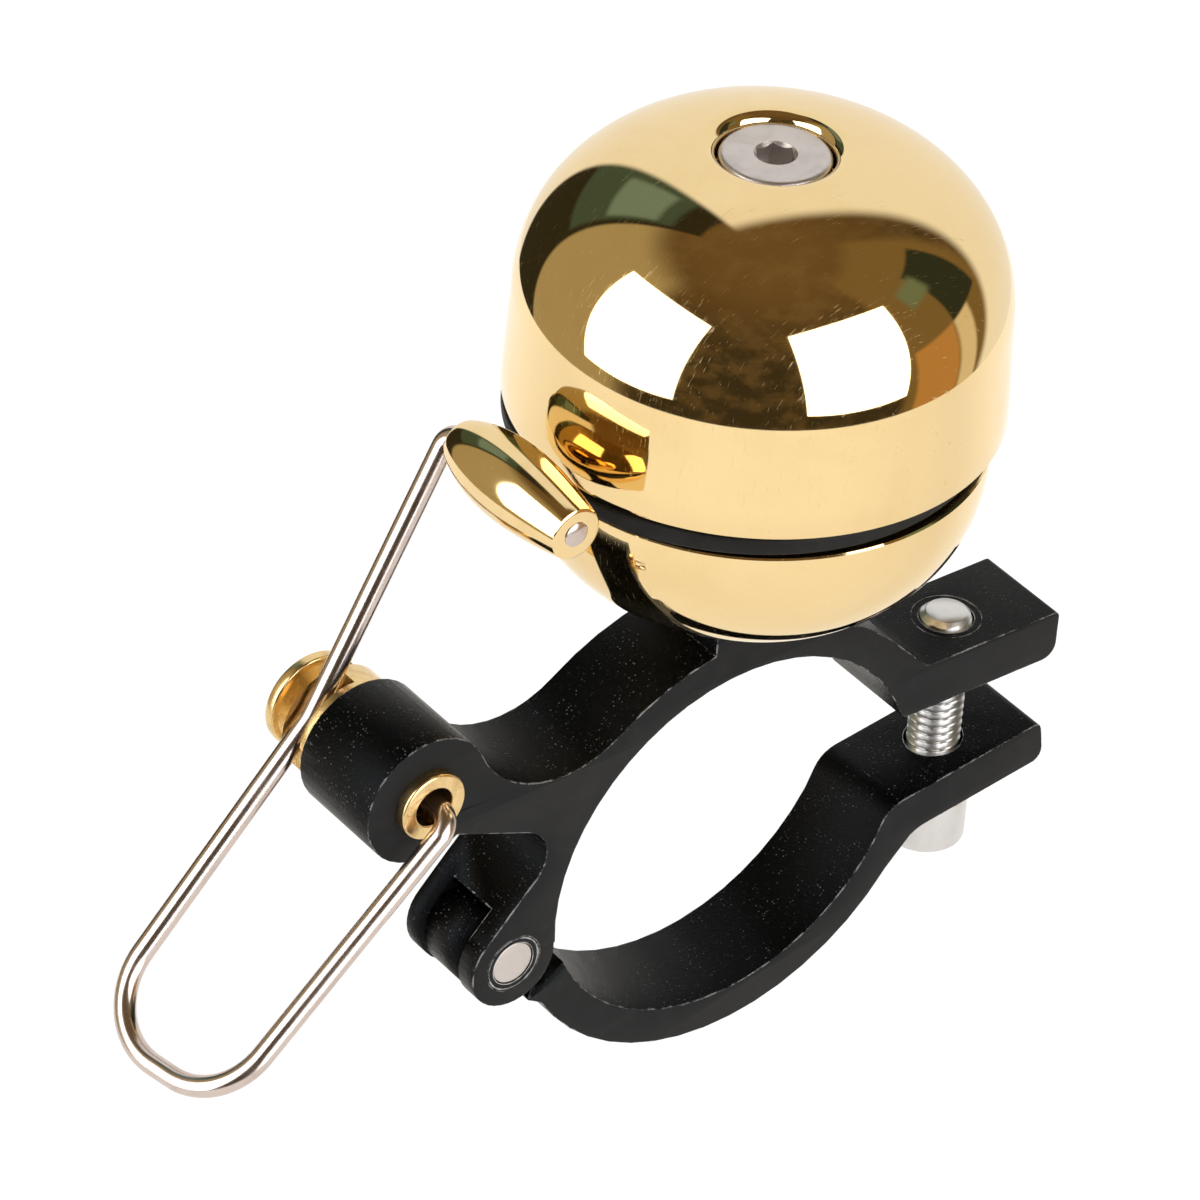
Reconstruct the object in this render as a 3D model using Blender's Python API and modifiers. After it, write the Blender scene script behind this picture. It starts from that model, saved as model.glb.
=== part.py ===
"""Bicycle bell: a brass dome and cup on a hinged handlebar clamp, with a sprung wire striker.

Frame: origin at the centre of the handlebar bore, +Y along the bar (towards the back of the
clamp), +Z up along the bell's axis, +X towards the clamp screw. The clamp stands closed as for
storage, with no bar in it. Sizes below are in millimetres and are scaled to metres by MM.
"""

import math

import bmesh
import bpy
from mathutils import Matrix, Vector

MM = 0.001
GAP = 0.3                      # running and seating gap between neighbouring pieces

# Clamp
BORE_R = 16.0                  # half of the 32 mm bore, for a 31.8 mm bar
CLAMP_W = 8.0                  # width of the clamp along the bar
RING_R = 18.8                  # outside of the frame's arch
STRAP_R = 18.9                 # outside of the strap's arch
EDGE = 0.22                    # broken edges of the clamp castings
HINGE = (-19.56, -1.94)
EAR_R = 3.56
KNUCKLE_R = 3.4
KNUCKLE_W = 4.0
PIN_R = 1.86
CLOSED_BY = 8.4                # degrees that the empty strap closes past a bar's fit
PIVOT = (-28.1, 16.2)
BARREL_R = 5.0
VALLEY_R = 8.0
TAB_END = 29.4
TAB_TOP = 9.6
TAB_BOTTOM = 5.6
STRAP_TAB_END = 28.6
STRAP_TAB_TOP = -7.45
STRAP_TAB_BOTTOM = -10.95
SCREW_X = 21.9
TAB_HOLE_R = 2.6
CLAMP_SCREW_R = 1.75

# Bell
BELL_X = 1.55                  # bell axis, from the bore's centre
SEAT_HALF = 4.8
SEAT_TOP = 20.3
DOME_RIM_Z = 36.9
DOME_RIM_R = 17.62
DOME_SHOULDER_Z = 44.5
DOME_SHOULDER_R = 17.3
DOME_RISE = 12.85              # shoulder to the top of the crown's curve
DOME_WALL = 1.25
DOME_POWER = 2.2
CUP_RIM_Z = 34.76
CUP_RIM_R = 16.74
CUP_BOTTOM_Z = 21.3
CUP_WALL = 1.2
CUP_POWER = 2.4
RECESS_R = 4.5
RECESS_FLOOR_Z = 54.2
STACK_HOLE_R = 2.25
DISC_R = 16.9
DISC_SHIFT = 0.6               # the loose disc lies to one side of the screw

# Striker
WIRE_R = 0.8
FRONT_Y = -6.4                 # plane of the wire's front leg
REAR_Y = 6.2                   # plane of its rear leg
HAMMER = (-20.0, 38.0)
HAMMER_BACK_Y = 4.9
HAMMER_FRONT_Y = -8.0
HAMMER_R = 2.85
SADDLE = 1.95                  # the spool's flat for the wire, from the pivot axis

# Turned pieces: steps round a full turn
FINE = 48
COARSE = 32


# ---------------------------------------------------------------- scene and materials

def clear_scene():
    for obj in list(bpy.data.objects):
        bpy.data.objects.remove(obj)


def make_collection(name):
    collection = bpy.data.collections.new(name)
    bpy.context.scene.collection.children.link(collection)
    return collection


def material(name, colour, roughness, metallic):
    made = bpy.data.materials.new(name)
    made.use_nodes = True
    shader = made.node_tree.nodes["Principled BSDF"]
    shader.inputs["Base Color"].default_value = (*colour, 1.0)
    shader.inputs["Roughness"].default_value = roughness
    shader.inputs["Metallic"].default_value = metallic
    return made


def add_object(name, mesh, origin, finish, collection):
    obj = bpy.data.objects.new(name, mesh)
    obj.location = Vector(origin) * MM
    collection.objects.link(obj)
    if finish is not None:
        obj.data.materials.clear()
        obj.data.materials.append(finish)
    return obj


def as_cutter(obj):
    obj.hide_render = True
    obj.display_type = "WIRE"
    return obj


# ---------------------------------------------------------------- outlines

def arc(centre, radius, start, end, step=7.0):
    """Points (x, z) along an arc, angles in degrees."""
    count = max(2, round(abs(end - start) / step))
    points = []
    for i in range(count + 1):
        angle = math.radians(start + (end - start) * i / count)
        points.append((centre[0] + radius * math.cos(angle), centre[1] + radius * math.sin(angle)))
    return points


def corner(before, point, after, radius, count=5):
    """Points of the round that replaces a corner of an outline."""
    p = Vector(point)
    u = (Vector(before) - p).normalized()
    v = (Vector(after) - p).normalized()
    half = u.angle(v) / 2
    centre = p + (u + v).normalized() * radius / math.sin(half)
    first = p + u * radius / math.tan(half) - centre
    last = p + v * radius / math.tan(half) - centre
    swing = math.pi - 2 * half
    points = []
    for i in range(count + 1):
        share = i / count
        swept = first * math.sin((1 - share) * swing) + last * math.sin(share * swing)
        points.append(tuple(centre + swept / math.sin(swing)))
    return points


def tangent_centre(first, reach_1, second, reach_2):
    """Centre of a circle at the given distances from two others, above the line that joins them."""
    a = Vector(first)
    b = Vector(second)
    base = (b - a).length
    along = (reach_1 ** 2 - reach_2 ** 2 + base ** 2) / (2 * base)
    across = math.sqrt(reach_1 ** 2 - along ** 2)
    unit = (b - a) / base
    return a + unit * along + Vector((-unit.y, unit.x)) * -across


def angle_to(start, end):
    return math.degrees(math.atan2(end[1] - start[1], end[0] - start[0]))


def frame_outline():
    """The clamp frame's side view, counter-clockwise."""
    seat_right = BELL_X + SEAT_HALF
    seat_left = BELL_X - SEAT_HALF
    valley = tangent_centre((0, 0), RING_R + VALLEY_R, PIVOT, BARREL_R + VALLEY_R)
    web_from = math.degrees(math.atan2(HINGE[1], HINGE[0])) + 360
    points = []
    points += corner((20, TAB_BOTTOM), (TAB_END, TAB_BOTTOM), (TAB_END, TAB_TOP), 1.2)
    points += corner((TAB_END, TAB_BOTTOM), (TAB_END, TAB_TOP), (20, TAB_TOP), 0.45, 3)
    points += corner((TAB_END, TAB_TOP), (16.9, TAB_TOP), (13.06, 13.5), 1.2, 3)
    points += arc((0, 0), RING_R, 46, math.degrees(math.acos(seat_right / RING_R)))
    points += [(seat_right, SEAT_TOP), (seat_left, SEAT_TOP)]
    points += arc((0, 0), RING_R, math.degrees(math.acos(seat_left / RING_R)), angle_to((0, 0), valley))
    points += arc(valley, VALLEY_R, angle_to(valley, (0, 0)) + 360, angle_to(valley, PIVOT) + 360, 9)[1:-1]
    points += arc(PIVOT, BARREL_R, angle_to(PIVOT, valley), 304, 10)
    points += corner((-25.3, 12.05), (-15.2, 8.0), (-22.1, 0.54), 2.8, 8)
    points += arc(HINGE, EAR_R, 135.8, 365.7, 10)
    points += arc((0, 0), BORE_R, web_from, 27)
    points += corner((14.26, 7.26), (15.0, TAB_BOTTOM), (20, TAB_BOTTOM), 0.9, 3)
    return points


def strap_outline():
    """The strap's side view as it lies round a bar, counter-clockwise."""
    points = []
    points += arc(HINGE, KNUCKLE_R, 5.7, 280, 12)
    points += [(-18.6, -6.2)]
    points += arc((0, 0), STRAP_R, -158, -44)
    points += corner((13.6, -13.13), (16.4, STRAP_TAB_BOTTOM), (20, STRAP_TAB_BOTTOM), 2.6)
    end_low = (STRAP_TAB_END, STRAP_TAB_BOTTOM)
    end_high = (STRAP_TAB_END, STRAP_TAB_TOP)
    points += corner((20, STRAP_TAB_BOTTOM), end_low, end_high, 1.0)
    points += corner(end_low, end_high, (20, STRAP_TAB_TOP), 0.7, 3)
    points += corner((20, STRAP_TAB_TOP), (14.16, STRAP_TAB_TOP), (12.5, -10.0), 2.4)
    points += arc((0, 0), BORE_R, -38.6, -173.4)
    return points


# ---------------------------------------------------------------- shapes

def curve_to_mesh(curve_object, collection):
    """Replaces a curve object by a welded mesh of the same shape and place."""
    graph = bpy.context.evaluated_depsgraph_get()
    mesh = bpy.data.meshes.new_from_object(curve_object.evaluated_get(graph))
    shape = bmesh.new()
    shape.from_mesh(mesh)
    bmesh.ops.remove_doubles(shape, verts=shape.verts, dist=0.000001)
    bmesh.ops.recalc_face_normals(shape, faces=shape.faces)
    shape.to_mesh(mesh)
    shape.free()
    name = curve_object.name
    place = curve_object.matrix_world.copy()
    bpy.data.objects.remove(curve_object)
    obj = bpy.data.objects.new(name, mesh)
    collection.objects.link(obj)
    obj.matrix_world = place
    return obj


def plate(name, outline, width, origin, turn, finish, collection):
    """A flat outline in X and Z, extruded along Y about its origin, which lies on a joint axis."""
    curve = bpy.data.curves.new(name, "CURVE")
    curve.dimensions = "2D"
    curve.fill_mode = "BOTH"
    curve.extrude = width / 2 * MM
    spline = curve.splines.new("POLY")
    spline.points.add(len(outline) - 1)
    for point, (x, z) in zip(spline.points, outline):
        point.co = ((x - origin[0]) * MM, (z - origin[1]) * MM, 0, 1)
    spline.use_cyclic_u = True
    drawn = bpy.data.objects.new(name, curve)
    collection.objects.link(drawn)
    drawn.location = (origin[0] * MM, 0, origin[1] * MM)
    drawn.rotation_euler = (math.radians(90), -math.radians(turn), 0)
    bpy.context.view_layer.update()
    obj = curve_to_mesh(drawn, collection)
    obj.data.materials.append(finish)
    bevel = obj.modifiers.new("broken_edges", "BEVEL")
    bevel.width = EDGE * MM
    bevel.segments = 2
    bevel.limit_method = "ANGLE"
    bevel.angle_limit = math.radians(60)
    return obj


def turned(name, profile, origin, finish, collection, steps=COARSE, along_y=False):
    """A closed profile of (radius, height) turned about Z, or about Y with height along +Y."""
    mesh = bpy.data.meshes.new(name)
    shape = bmesh.new()
    corners = [shape.verts.new((r * MM, 0, h * MM)) for r, h in profile]
    for first, second in zip(corners, corners[1:] + corners[:1]):
        if not (profile[corners.index(first)][0] == 0 and profile[corners.index(second)][0] == 0):
            shape.edges.new((first, second))
    shape.to_mesh(mesh)
    shape.free()
    obj = add_object(name, mesh, origin, finish, collection)
    screw = obj.modifiers.new("turned", "SCREW")
    screw.steps = steps
    screw.render_steps = steps
    screw.use_merge_vertices = True
    screw.merge_threshold = 0.00001
    screw.use_smooth_shade = True
    if along_y:
        obj.rotation_euler = (math.radians(-90), 0, 0)
    return obj


def rod(name, radius, low, high, origin, finish, collection, steps=COARSE, along_y=False):
    """A plain cylinder from low to high along Z, or along Y."""
    mesh = bpy.data.meshes.new(name)
    shape = bmesh.new()
    bmesh.ops.create_cone(
        shape, cap_ends=True, segments=steps, radius1=radius * MM, radius2=radius * MM,
        depth=(high - low) * MM,
    )
    bmesh.ops.translate(shape, verts=shape.verts, vec=(0, 0, (low + high) / 2 * MM))
    if along_y:
        turn = Matrix.Rotation(math.radians(-90), 3, "X")
        bmesh.ops.rotate(shape, verts=shape.verts, cent=(0, 0, 0), matrix=turn)
    shape.to_mesh(mesh)
    shape.free()
    return add_object(name, mesh, origin, finish, collection)


def block(name, size, centre, turn, collection):
    """A cutter box, turned about Y by an angle in degrees."""
    mesh = bpy.data.meshes.new(name)
    shape = bmesh.new()
    bmesh.ops.create_cube(shape, size=1)
    bmesh.ops.scale(shape, verts=shape.verts, vec=Vector(size) * MM)
    shape.to_mesh(mesh)
    shape.free()
    obj = add_object(name, mesh, centre, None, collection)
    obj.rotation_euler = (0, -math.radians(turn), 0)
    return as_cutter(obj)


def ring_profile(outer, inner, low, high):
    return [(inner, high), (outer, high), (outer, low), (inner, low)]


def cut(obj, cutter):
    boolean = obj.modifiers.new("cut_" + cutter.name, "BOOLEAN")
    boolean.operation = "DIFFERENCE"
    boolean.solver = "EXACT"
    boolean.object = cutter


def tube(name, points, radius, finish, collection, origin):
    """A round wire along the points, with filled ends."""
    curve = bpy.data.curves.new(name, "CURVE")
    curve.dimensions = "3D"
    curve.bevel_depth = radius * MM
    curve.bevel_resolution = 2
    curve.use_fill_caps = True
    spline = curve.splines.new("POLY")
    spline.points.add(len(points) - 1)
    for point, place in zip(spline.points, points):
        local = (Vector(place) - Vector(origin)) * MM
        point.co = (*local, 1)
    return add_object(name, curve, origin, finish, collection)


def bent(waypoints, step=12.0):
    """The waypoints (x, y, z, bend radius) joined by straight runs and round bends."""
    points = [Vector(waypoints[0][:3])]
    for before, here, after in zip(waypoints, waypoints[1:], waypoints[2:]):
        p = Vector(here[:3])
        radius = here[3]
        u = (Vector(before[:3]) - p).normalized()
        v = (Vector(after[:3]) - p).normalized()
        half = u.angle(v) / 2
        centre = p + (u + v).normalized() * radius / math.sin(half)
        first = p + u * radius / math.tan(half) - centre
        last = p + v * radius / math.tan(half) - centre
        swing = math.pi - 2 * half
        count = max(2, round(math.degrees(swing) / step))
        for i in range(count + 1):
            share = i / count
            swept = first * math.sin((1 - share) * swing) + last * math.sin(share * swing)
            points.append(centre + swept / math.sin(swing))
    points.append(Vector(waypoints[-1][:3]))
    return points


def oval(half_width, rise, base, power, start, end, count):
    """(radius, height) along a superellipse quarter from the start radius to the end radius."""
    def angle_of(radius):
        return math.acos((radius / half_width) ** (power / 2))
    points = []
    for i in range(count + 1):
        angle = angle_of(start) + (angle_of(end) - angle_of(start)) * i / count
        radius = half_width * math.cos(angle) ** (2 / power)
        points.append((radius, base + rise * math.sin(angle) ** (2 / power)))
    return points


# ---------------------------------------------------------------- clamp

def make_clamp_frame(finish, parts, cutters):
    frame = plate("clamp_frame", frame_outline(), CLAMP_W, (0, 0), 0, finish, parts)
    pivot = (PIVOT[0], 0, PIVOT[1])
    hinge = (HINGE[0], 0, HINGE[1])
    half = CLAMP_W / 2
    tools = [
        rod("bush_bore", 2.3, -half - 1, 0, pivot, None, cutters, along_y=True),
        rod("spring_chamber", 3.15, -1.0, half + 1, pivot, None, cutters, along_y=True),
        rod("knuckle_slot", KNUCKLE_R + 0.9, -KNUCKLE_W / 2 - GAP, KNUCKLE_W / 2 + GAP, hinge, None,
            cutters, along_y=True),
        rod("pin_bore", PIN_R + GAP, -half - 1, half + 1, hinge, None, cutters, along_y=True),
        rod("tab_bore", TAB_HOLE_R, TAB_BOTTOM - 1, TAB_TOP + 1, (SCREW_X, 0, 0), None, cutters),
        rod("seat_bore", STACK_HOLE_R, BORE_R - 2, SEAT_TOP + 1, (BELL_X, 0, 0), None, cutters, 24),
    ]
    for tool in tools:
        cut(frame, as_cutter(tool))
    return frame


def make_clamp_strap(finish, parts, cutters):
    """The strap is drawn round a bar and closed about the hinge; its knuckle stands between the ears."""
    strap = plate("clamp_strap", strap_outline(), CLAMP_W, HINGE, CLOSED_BY, finish, parts)
    hinge = (HINGE[0], 0, HINGE[1])
    half = CLAMP_W / 2
    towards_strap = -54.7                # from the pin to the shoulder of the full width
    shoulder = 4.15
    depth = 10.0
    side = half - KNUCKLE_W / 2 + 1
    for name, sign in (("front_ear_room", -1), ("rear_ear_room", 1)):
        reach = math.radians(towards_strap)
        offset = shoulder - depth / 2
        centre = (
            HINGE[0] + math.cos(reach) * offset,
            sign * (KNUCKLE_W / 2 + side / 2),
            HINGE[1] + math.sin(reach) * offset,
        )
        cut(strap, block(name, (depth, side, 12.0), centre, towards_strap, cutters))
    cut(strap, as_cutter(rod("knuckle_bore", PIN_R + GAP, -half, half, hinge, None, cutters, along_y=True)))
    cut(strap, as_cutter(rod("screw_room", 2.2, -12, 3, (SCREW_X, 0, 0), None, cutters)))
    return strap


def make_hinge_pin(finish, parts):
    half = CLAMP_W / 2
    profile = [(0, half - 0.15), (PIN_R - 0.2, half - 0.15), (PIN_R, half - 0.35),
               (PIN_R, 0.35 - half), (PIN_R - 0.2, 0.15 - half), (0, 0.15 - half)]
    return turned("hinge_pin", profile, (HINGE[0], 0, HINGE[1]), finish, parts, 24, along_y=True)


def hexagon_cutter(name, across_flats, low, high, origin, collection):
    radius = across_flats / 2 / math.cos(math.radians(30))
    return as_cutter(rod(name, radius, low, high, origin, None, collection, steps=6))


def make_clamp_screw(finish, parts, cutters):
    head_top = -5.95
    profile = [(0, 10.1), (1.3, 10.1), (CLAMP_SCREW_R, 9.2), (CLAMP_SCREW_R, head_top),
               (2.9, head_top), (3.1, head_top - 0.2), (3.1, -9.8), (2.8, -10.1), (0, -10.1)]
    screw = turned("clamp_screw", profile, (SCREW_X, 0, 0), finish, parts)
    cut(screw, hexagon_cutter("clamp_screw_socket", 3.0, -11, -8, (SCREW_X, 0, 0), cutters))
    return screw


# ---------------------------------------------------------------- bell

def make_base_cup(finish, parts):
    rise = CUP_RIM_Z - CUP_BOTTOM_Z
    foot = 3.6

    def side(half_width, depth, start, end, count):
        return [(r, CUP_RIM_Z - h) for r, h in oval(half_width, depth, 0, CUP_POWER, start, end, count)]
    outer = side(CUP_RIM_R, rise, CUP_RIM_R, foot, 11)
    inner = side(CUP_RIM_R - CUP_WALL, rise - CUP_WALL, CUP_RIM_R - CUP_WALL, foot, 8)
    profile = outer + [(STACK_HOLE_R, CUP_BOTTOM_Z), (STACK_HOLE_R, CUP_BOTTOM_Z + CUP_WALL)] + inner[::-1]
    return turned("base_cup", profile, (BELL_X, 0, 0), finish, parts, FINE)


def make_bell_dome(finish, parts):
    crown = DOME_SHOULDER_Z + DOME_RISE
    lip = RECESS_R + 0.55
    outer = oval(DOME_SHOULDER_R, DOME_RISE, DOME_SHOULDER_Z, DOME_POWER, lip, DOME_SHOULDER_R, 10)
    inner_r = DOME_SHOULDER_R - DOME_WALL
    wall_r = RECESS_R + DOME_WALL
    inner = oval(inner_r, DOME_RISE - DOME_WALL, DOME_SHOULDER_Z, DOME_POWER, inner_r, wall_r + 0.4, 7)
    recess = [(STACK_HOLE_R, RECESS_FLOOR_Z), (RECESS_R - 0.25, RECESS_FLOOR_Z),
              (RECESS_R, RECESS_FLOOR_Z + 0.25), (RECESS_R, crown - 0.75), (RECESS_R + 0.15, crown - 0.4)]
    band = [(DOME_RIM_R - 0.02, DOME_RIM_Z + 3.8), (DOME_RIM_R, DOME_RIM_Z + 0.25),
            (DOME_RIM_R - 0.25, DOME_RIM_Z), (DOME_RIM_R - DOME_WALL, DOME_RIM_Z)]
    underside = RECESS_FLOOR_Z - DOME_WALL
    floor = [(wall_r, underside + 0.4), (wall_r - 0.4, underside), (STACK_HOLE_R, underside)]
    profile = recess + outer + band + inner + floor
    return turned("bell_dome", profile, (BELL_X, 0, 0), finish, parts, FINE)


def make_dome_screw(finish, parts, cutters):
    head_low = 55.1
    head_top = 56.45
    profile = [(0, head_top), (3.6, head_top), (3.85, head_top - 0.25), (3.85, head_low + 0.2),
               (3.65, head_low), (1.9, head_low), (1.9, 17.1), (1.6, 16.8), (0, 16.8)]
    screw = turned("dome_screw", profile, (BELL_X, 0, 0), finish, parts)
    cut(screw, hexagon_cutter("dome_screw_socket", 2.5, head_top - 1.3, head_top + 1, (BELL_X, 0, 0), cutters))
    return screw


def make_stack(finishes, parts):
    """The washers, spacers and disc threaded on the dome's screw, from the seat upwards."""
    axis = (BELL_X, 0, 0)
    underside = RECESS_FLOOR_Z - DOME_WALL
    pieces = (
        ("seat_washer", "rubber", 4.3, SEAT_TOP + GAP, CUP_BOTTOM_Z - GAP),
        ("cup_washer", "steel", 3.5, CUP_BOTTOM_Z + CUP_WALL + GAP, CUP_BOTTOM_Z + CUP_WALL + 1.0),
        ("lower_spacer", "nickel", 3.2, CUP_BOTTOM_Z + CUP_WALL + 1.3, CUP_RIM_Z),
        ("upper_spacer", "nickel", 3.2, DOME_RIM_Z - 0.2, underside - 1.6),
        ("dome_washer", "rubber", 4.3, underside - 1.3, underside - GAP),
        ("crown_washer", "rubber", 3.9, RECESS_FLOOR_Z + GAP, RECESS_FLOOR_Z + 0.6),
    )
    for name, finish, radius, low, high in pieces:
        turned(name, ring_profile(radius, STACK_HOLE_R, low, high), axis, finishes[finish], parts)


def make_gap_disc(finish, parts, cutters):
    low = CUP_RIM_Z + GAP
    high = DOME_RIM_Z - 0.5
    lean = math.radians(140)
    centre = (BELL_X + DISC_SHIFT * math.cos(lean), DISC_SHIFT * math.sin(lean), 0)
    profile = [(0, high), (DISC_R - 0.3, high), (DISC_R, high - 0.3), (DISC_R, low + 0.3),
               (DISC_R - 0.3, low), (0, low)]
    disc = turned("gap_disc", profile, centre, finish, parts, FINE)
    cut(disc, as_cutter(rod("disc_bore", STACK_HOLE_R, low - 1, high + 1, (BELL_X, 0, 0), None, cutters, 24)))
    return disc


# ---------------------------------------------------------------- striker

def make_pivot_bush(finish, parts):
    front = -CLAMP_W / 2
    profile = [(1.5, -1.5), (2.0, -1.5), (2.0, front - GAP), (2.6, front - GAP), (2.6, front - 0.75),
               (2.45, front - 0.9), (1.65, front - 0.9), (1.5, front - 0.75)]
    return turned("pivot_bush", profile, (PIVOT[0], 0, PIVOT[1]), finish, parts, along_y=True)


def make_pivot_spool(finish, parts, cutters):
    """The brass spool behind the barrel. Its saddle is cut away where the wire's rear leg lies."""
    face = CLAMP_W / 2 + GAP
    profile = [(0, 10.1), (3.55, 10.1), (3.75, 9.9), (3.75, 9.4), (3.55, 9.2), (3.1, 9.25), (2.3, 8.8),
               (2.3, 7.35), (4.05, 7.35), (4.25, 7.15), (4.25, face), (1.7, face), (1.7, -0.6), (0, -0.6)]
    spool = turned("pivot_spool", profile, (PIVOT[0], 0, PIVOT[1]), finish, parts, along_y=True)
    away = 149.4
    reach = math.radians(away)
    depth = 8.0
    offset = SADDLE + depth / 2
    centre = (PIVOT[0] + math.cos(reach) * offset, REAR_Y, PIVOT[1] + math.sin(reach) * offset)
    cut(spool, block("wire_saddle", (depth, 2 * WIRE_R + 2 * GAP + 0.1, 14.0), centre, away, cutters))
    return spool


def make_torsion_spring(finish, parts):
    turns = 3.5
    radius = 2.42
    first_y = -0.2
    pitch = 0.95
    per_turn = 14
    count = round(turns * per_turn)
    points = []
    for i in range(count + 1):
        angle = 2 * math.pi * i / per_turn
        points.append((
            PIVOT[0] + radius * math.cos(angle),
            first_y + pitch * i / per_turn,
            PIVOT[1] + radius * math.sin(angle),
        ))
    return tube("torsion_spring", points, 0.3, finish, parts, (PIVOT[0], 0, PIVOT[1]))


def wire_route():
    """The striker's wire from its end in the front bush, round the thumb loop, to its end in the hammer."""
    front_x, front_z = PIVOT[0] + 0.45, PIVOT[1] - 0.35
    loop_front = (-46.3, -1.2)
    loop_rear = (-48.4, -1.5)
    saddle = (-30.7, 17.85)
    return bent([
        (front_x, -2.0, front_z, 0),
        (front_x, FRONT_Y, front_z, 1.5),
        (loop_front[0], FRONT_Y, loop_front[1], 5.4),
        (loop_rear[0], REAR_Y, loop_rear[1], 5.4),
        (saddle[0], REAR_Y, saddle[1], 3.0),
        (HAMMER[0], REAR_Y, HAMMER[1], 1.2),
        (HAMMER[0], HAMMER_FRONT_Y - 0.1, HAMMER[1], 0),
    ])


def make_striker_wire(finish, parts):
    return tube("striker_wire", wire_route(), WIRE_R, finish, parts, (PIVOT[0], 0, PIVOT[1]))


def make_striker_hammer(finish, parts):
    """A barrel-shaped brass sleeve on the wire's top run."""
    length = HAMMER_BACK_Y - HAMMER_FRONT_Y
    bore = WIRE_R + GAP
    back_r = 1.5
    front_r = 1.95
    count = 10
    outer = []
    for i in range(count + 1):
        share = i / count
        end_r = back_r + (front_r - back_r) * share
        bulge = math.sin(math.pi * share ** 0.9) ** 0.85 if 0 < share < 1 else 0
        outer.append((end_r + (HAMMER_R - end_r) * bulge, HAMMER_BACK_Y - length * share))
    profile = [(bore, HAMMER_BACK_Y)] + outer + [(bore, HAMMER_FRONT_Y)]
    return turned("striker_hammer", profile, (HAMMER[0], 0, HAMMER[1]), finish, parts, along_y=True)


# ---------------------------------------------------------------- assembly

def main():
    clear_scene()
    parts = make_collection("bicycle_bell")
    cutters = make_collection("cutters")
    brass = material("polished_brass", (0.78, 0.57, 0.22), 0.12, 1.0)
    black = material("black_anodised", (0.02, 0.02, 0.022), 0.5, 0.6)
    steel = material("steel", (0.62, 0.61, 0.6), 0.3, 1.0)
    nickel = material("nickel_plate", (0.72, 0.66, 0.62), 0.2, 1.0)
    rubber = material("black_rubber", (0.02, 0.02, 0.02), 0.7, 0.0)
    finishes = {"steel": steel, "nickel": nickel, "rubber": rubber}
    make_clamp_frame(black, parts, cutters)
    make_clamp_strap(black, parts, cutters)
    make_hinge_pin(steel, parts)
    make_clamp_screw(steel, parts, cutters)
    make_base_cup(brass, parts)
    make_bell_dome(brass, parts)
    make_dome_screw(steel, parts, cutters)
    make_stack(finishes, parts)
    make_gap_disc(rubber, parts, cutters)
    make_pivot_bush(brass, parts)
    make_pivot_spool(brass, parts, cutters)
    make_torsion_spring(steel, parts)
    make_striker_wire(nickel, parts)
    make_striker_hammer(brass, parts)


main()
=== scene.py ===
"""The looks of a bicycle bell: a polished brass dome and cup on a black hinged handlebar clamp,
rung by a brass hammer on a nickel-plated wire.

Sizes are in millimetres and are scaled to metres by MM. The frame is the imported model's: origin at
the centre of the handlebar bore, +Y along the bar, +Z up the bell's axis, +X towards the clamp screw.
"""

import logging
import math
from dataclasses import dataclass, field
from enum import Enum
from typing import Any, Sequence

import bmesh
import bpy
from mathutils import Matrix, Quaternion, Vector


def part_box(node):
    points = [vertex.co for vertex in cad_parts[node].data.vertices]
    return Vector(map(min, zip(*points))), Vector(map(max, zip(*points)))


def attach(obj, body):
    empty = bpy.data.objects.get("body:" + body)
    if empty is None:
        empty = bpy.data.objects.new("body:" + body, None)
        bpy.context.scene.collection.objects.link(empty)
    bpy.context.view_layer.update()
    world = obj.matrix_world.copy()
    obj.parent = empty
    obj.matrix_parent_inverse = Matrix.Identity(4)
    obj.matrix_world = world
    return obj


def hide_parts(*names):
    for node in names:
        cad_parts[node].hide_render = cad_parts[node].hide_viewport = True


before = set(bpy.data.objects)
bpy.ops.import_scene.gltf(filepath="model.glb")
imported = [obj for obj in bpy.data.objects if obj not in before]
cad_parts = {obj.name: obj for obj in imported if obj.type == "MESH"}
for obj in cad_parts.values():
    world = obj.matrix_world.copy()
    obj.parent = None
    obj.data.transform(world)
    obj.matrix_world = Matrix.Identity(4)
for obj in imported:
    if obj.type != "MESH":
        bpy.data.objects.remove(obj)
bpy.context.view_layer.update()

LOG = logging.getLogger("bicycle_bell")
MM = 0.001
BEND_STEP = 3.0
CREASE = 32.0

Colour = tuple[float, float, float]
Point = tuple[float, float]
Corner = tuple[float, float, float]


# ---------------------------------------------------------------- shapes

class Along(Enum):
    """The way that the height of a turned piece runs."""

    UP = "up the bell's axis"
    BAR = "along the handlebar"


def node_centre(node: str) -> Vector:
    """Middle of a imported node's box.

    Args:
        node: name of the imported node.

    Returns:
        The point, in metres.
    """
    low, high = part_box(node)
    return (Vector(low) + Vector(high)) / 2


def corner_arc(before: Vector, here: Vector, after: Vector, size: float,
               steps: int | None = None) -> list[Vector]:
    """Rounds one corner of a route.

    Args:
        before: the corner before it.
        here: the corner.
        after: the corner after it.
        size: radius of the round.
        steps: segments in the round; left out, one for each BEND_STEP degrees.

    Returns:
        The round's points.
    """
    u = (before - here).normalized()
    v = (after - here).normalized()
    half = u.angle(v) / 2
    centre = here + (u + v).normalized() * size / math.sin(half)
    first = here + u * size / math.tan(half) - centre
    last = here + v * size / math.tan(half) - centre
    swing = math.pi - 2 * half
    steps = steps or max(3, round(math.degrees(swing) / BEND_STEP))
    points = []
    for i in range(steps + 1):
        share = i / steps
        arm = first * math.sin((1 - share) * swing) + last * math.sin(share * swing)
        points.append(centre + arm / math.sin(swing))
    return points


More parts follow.
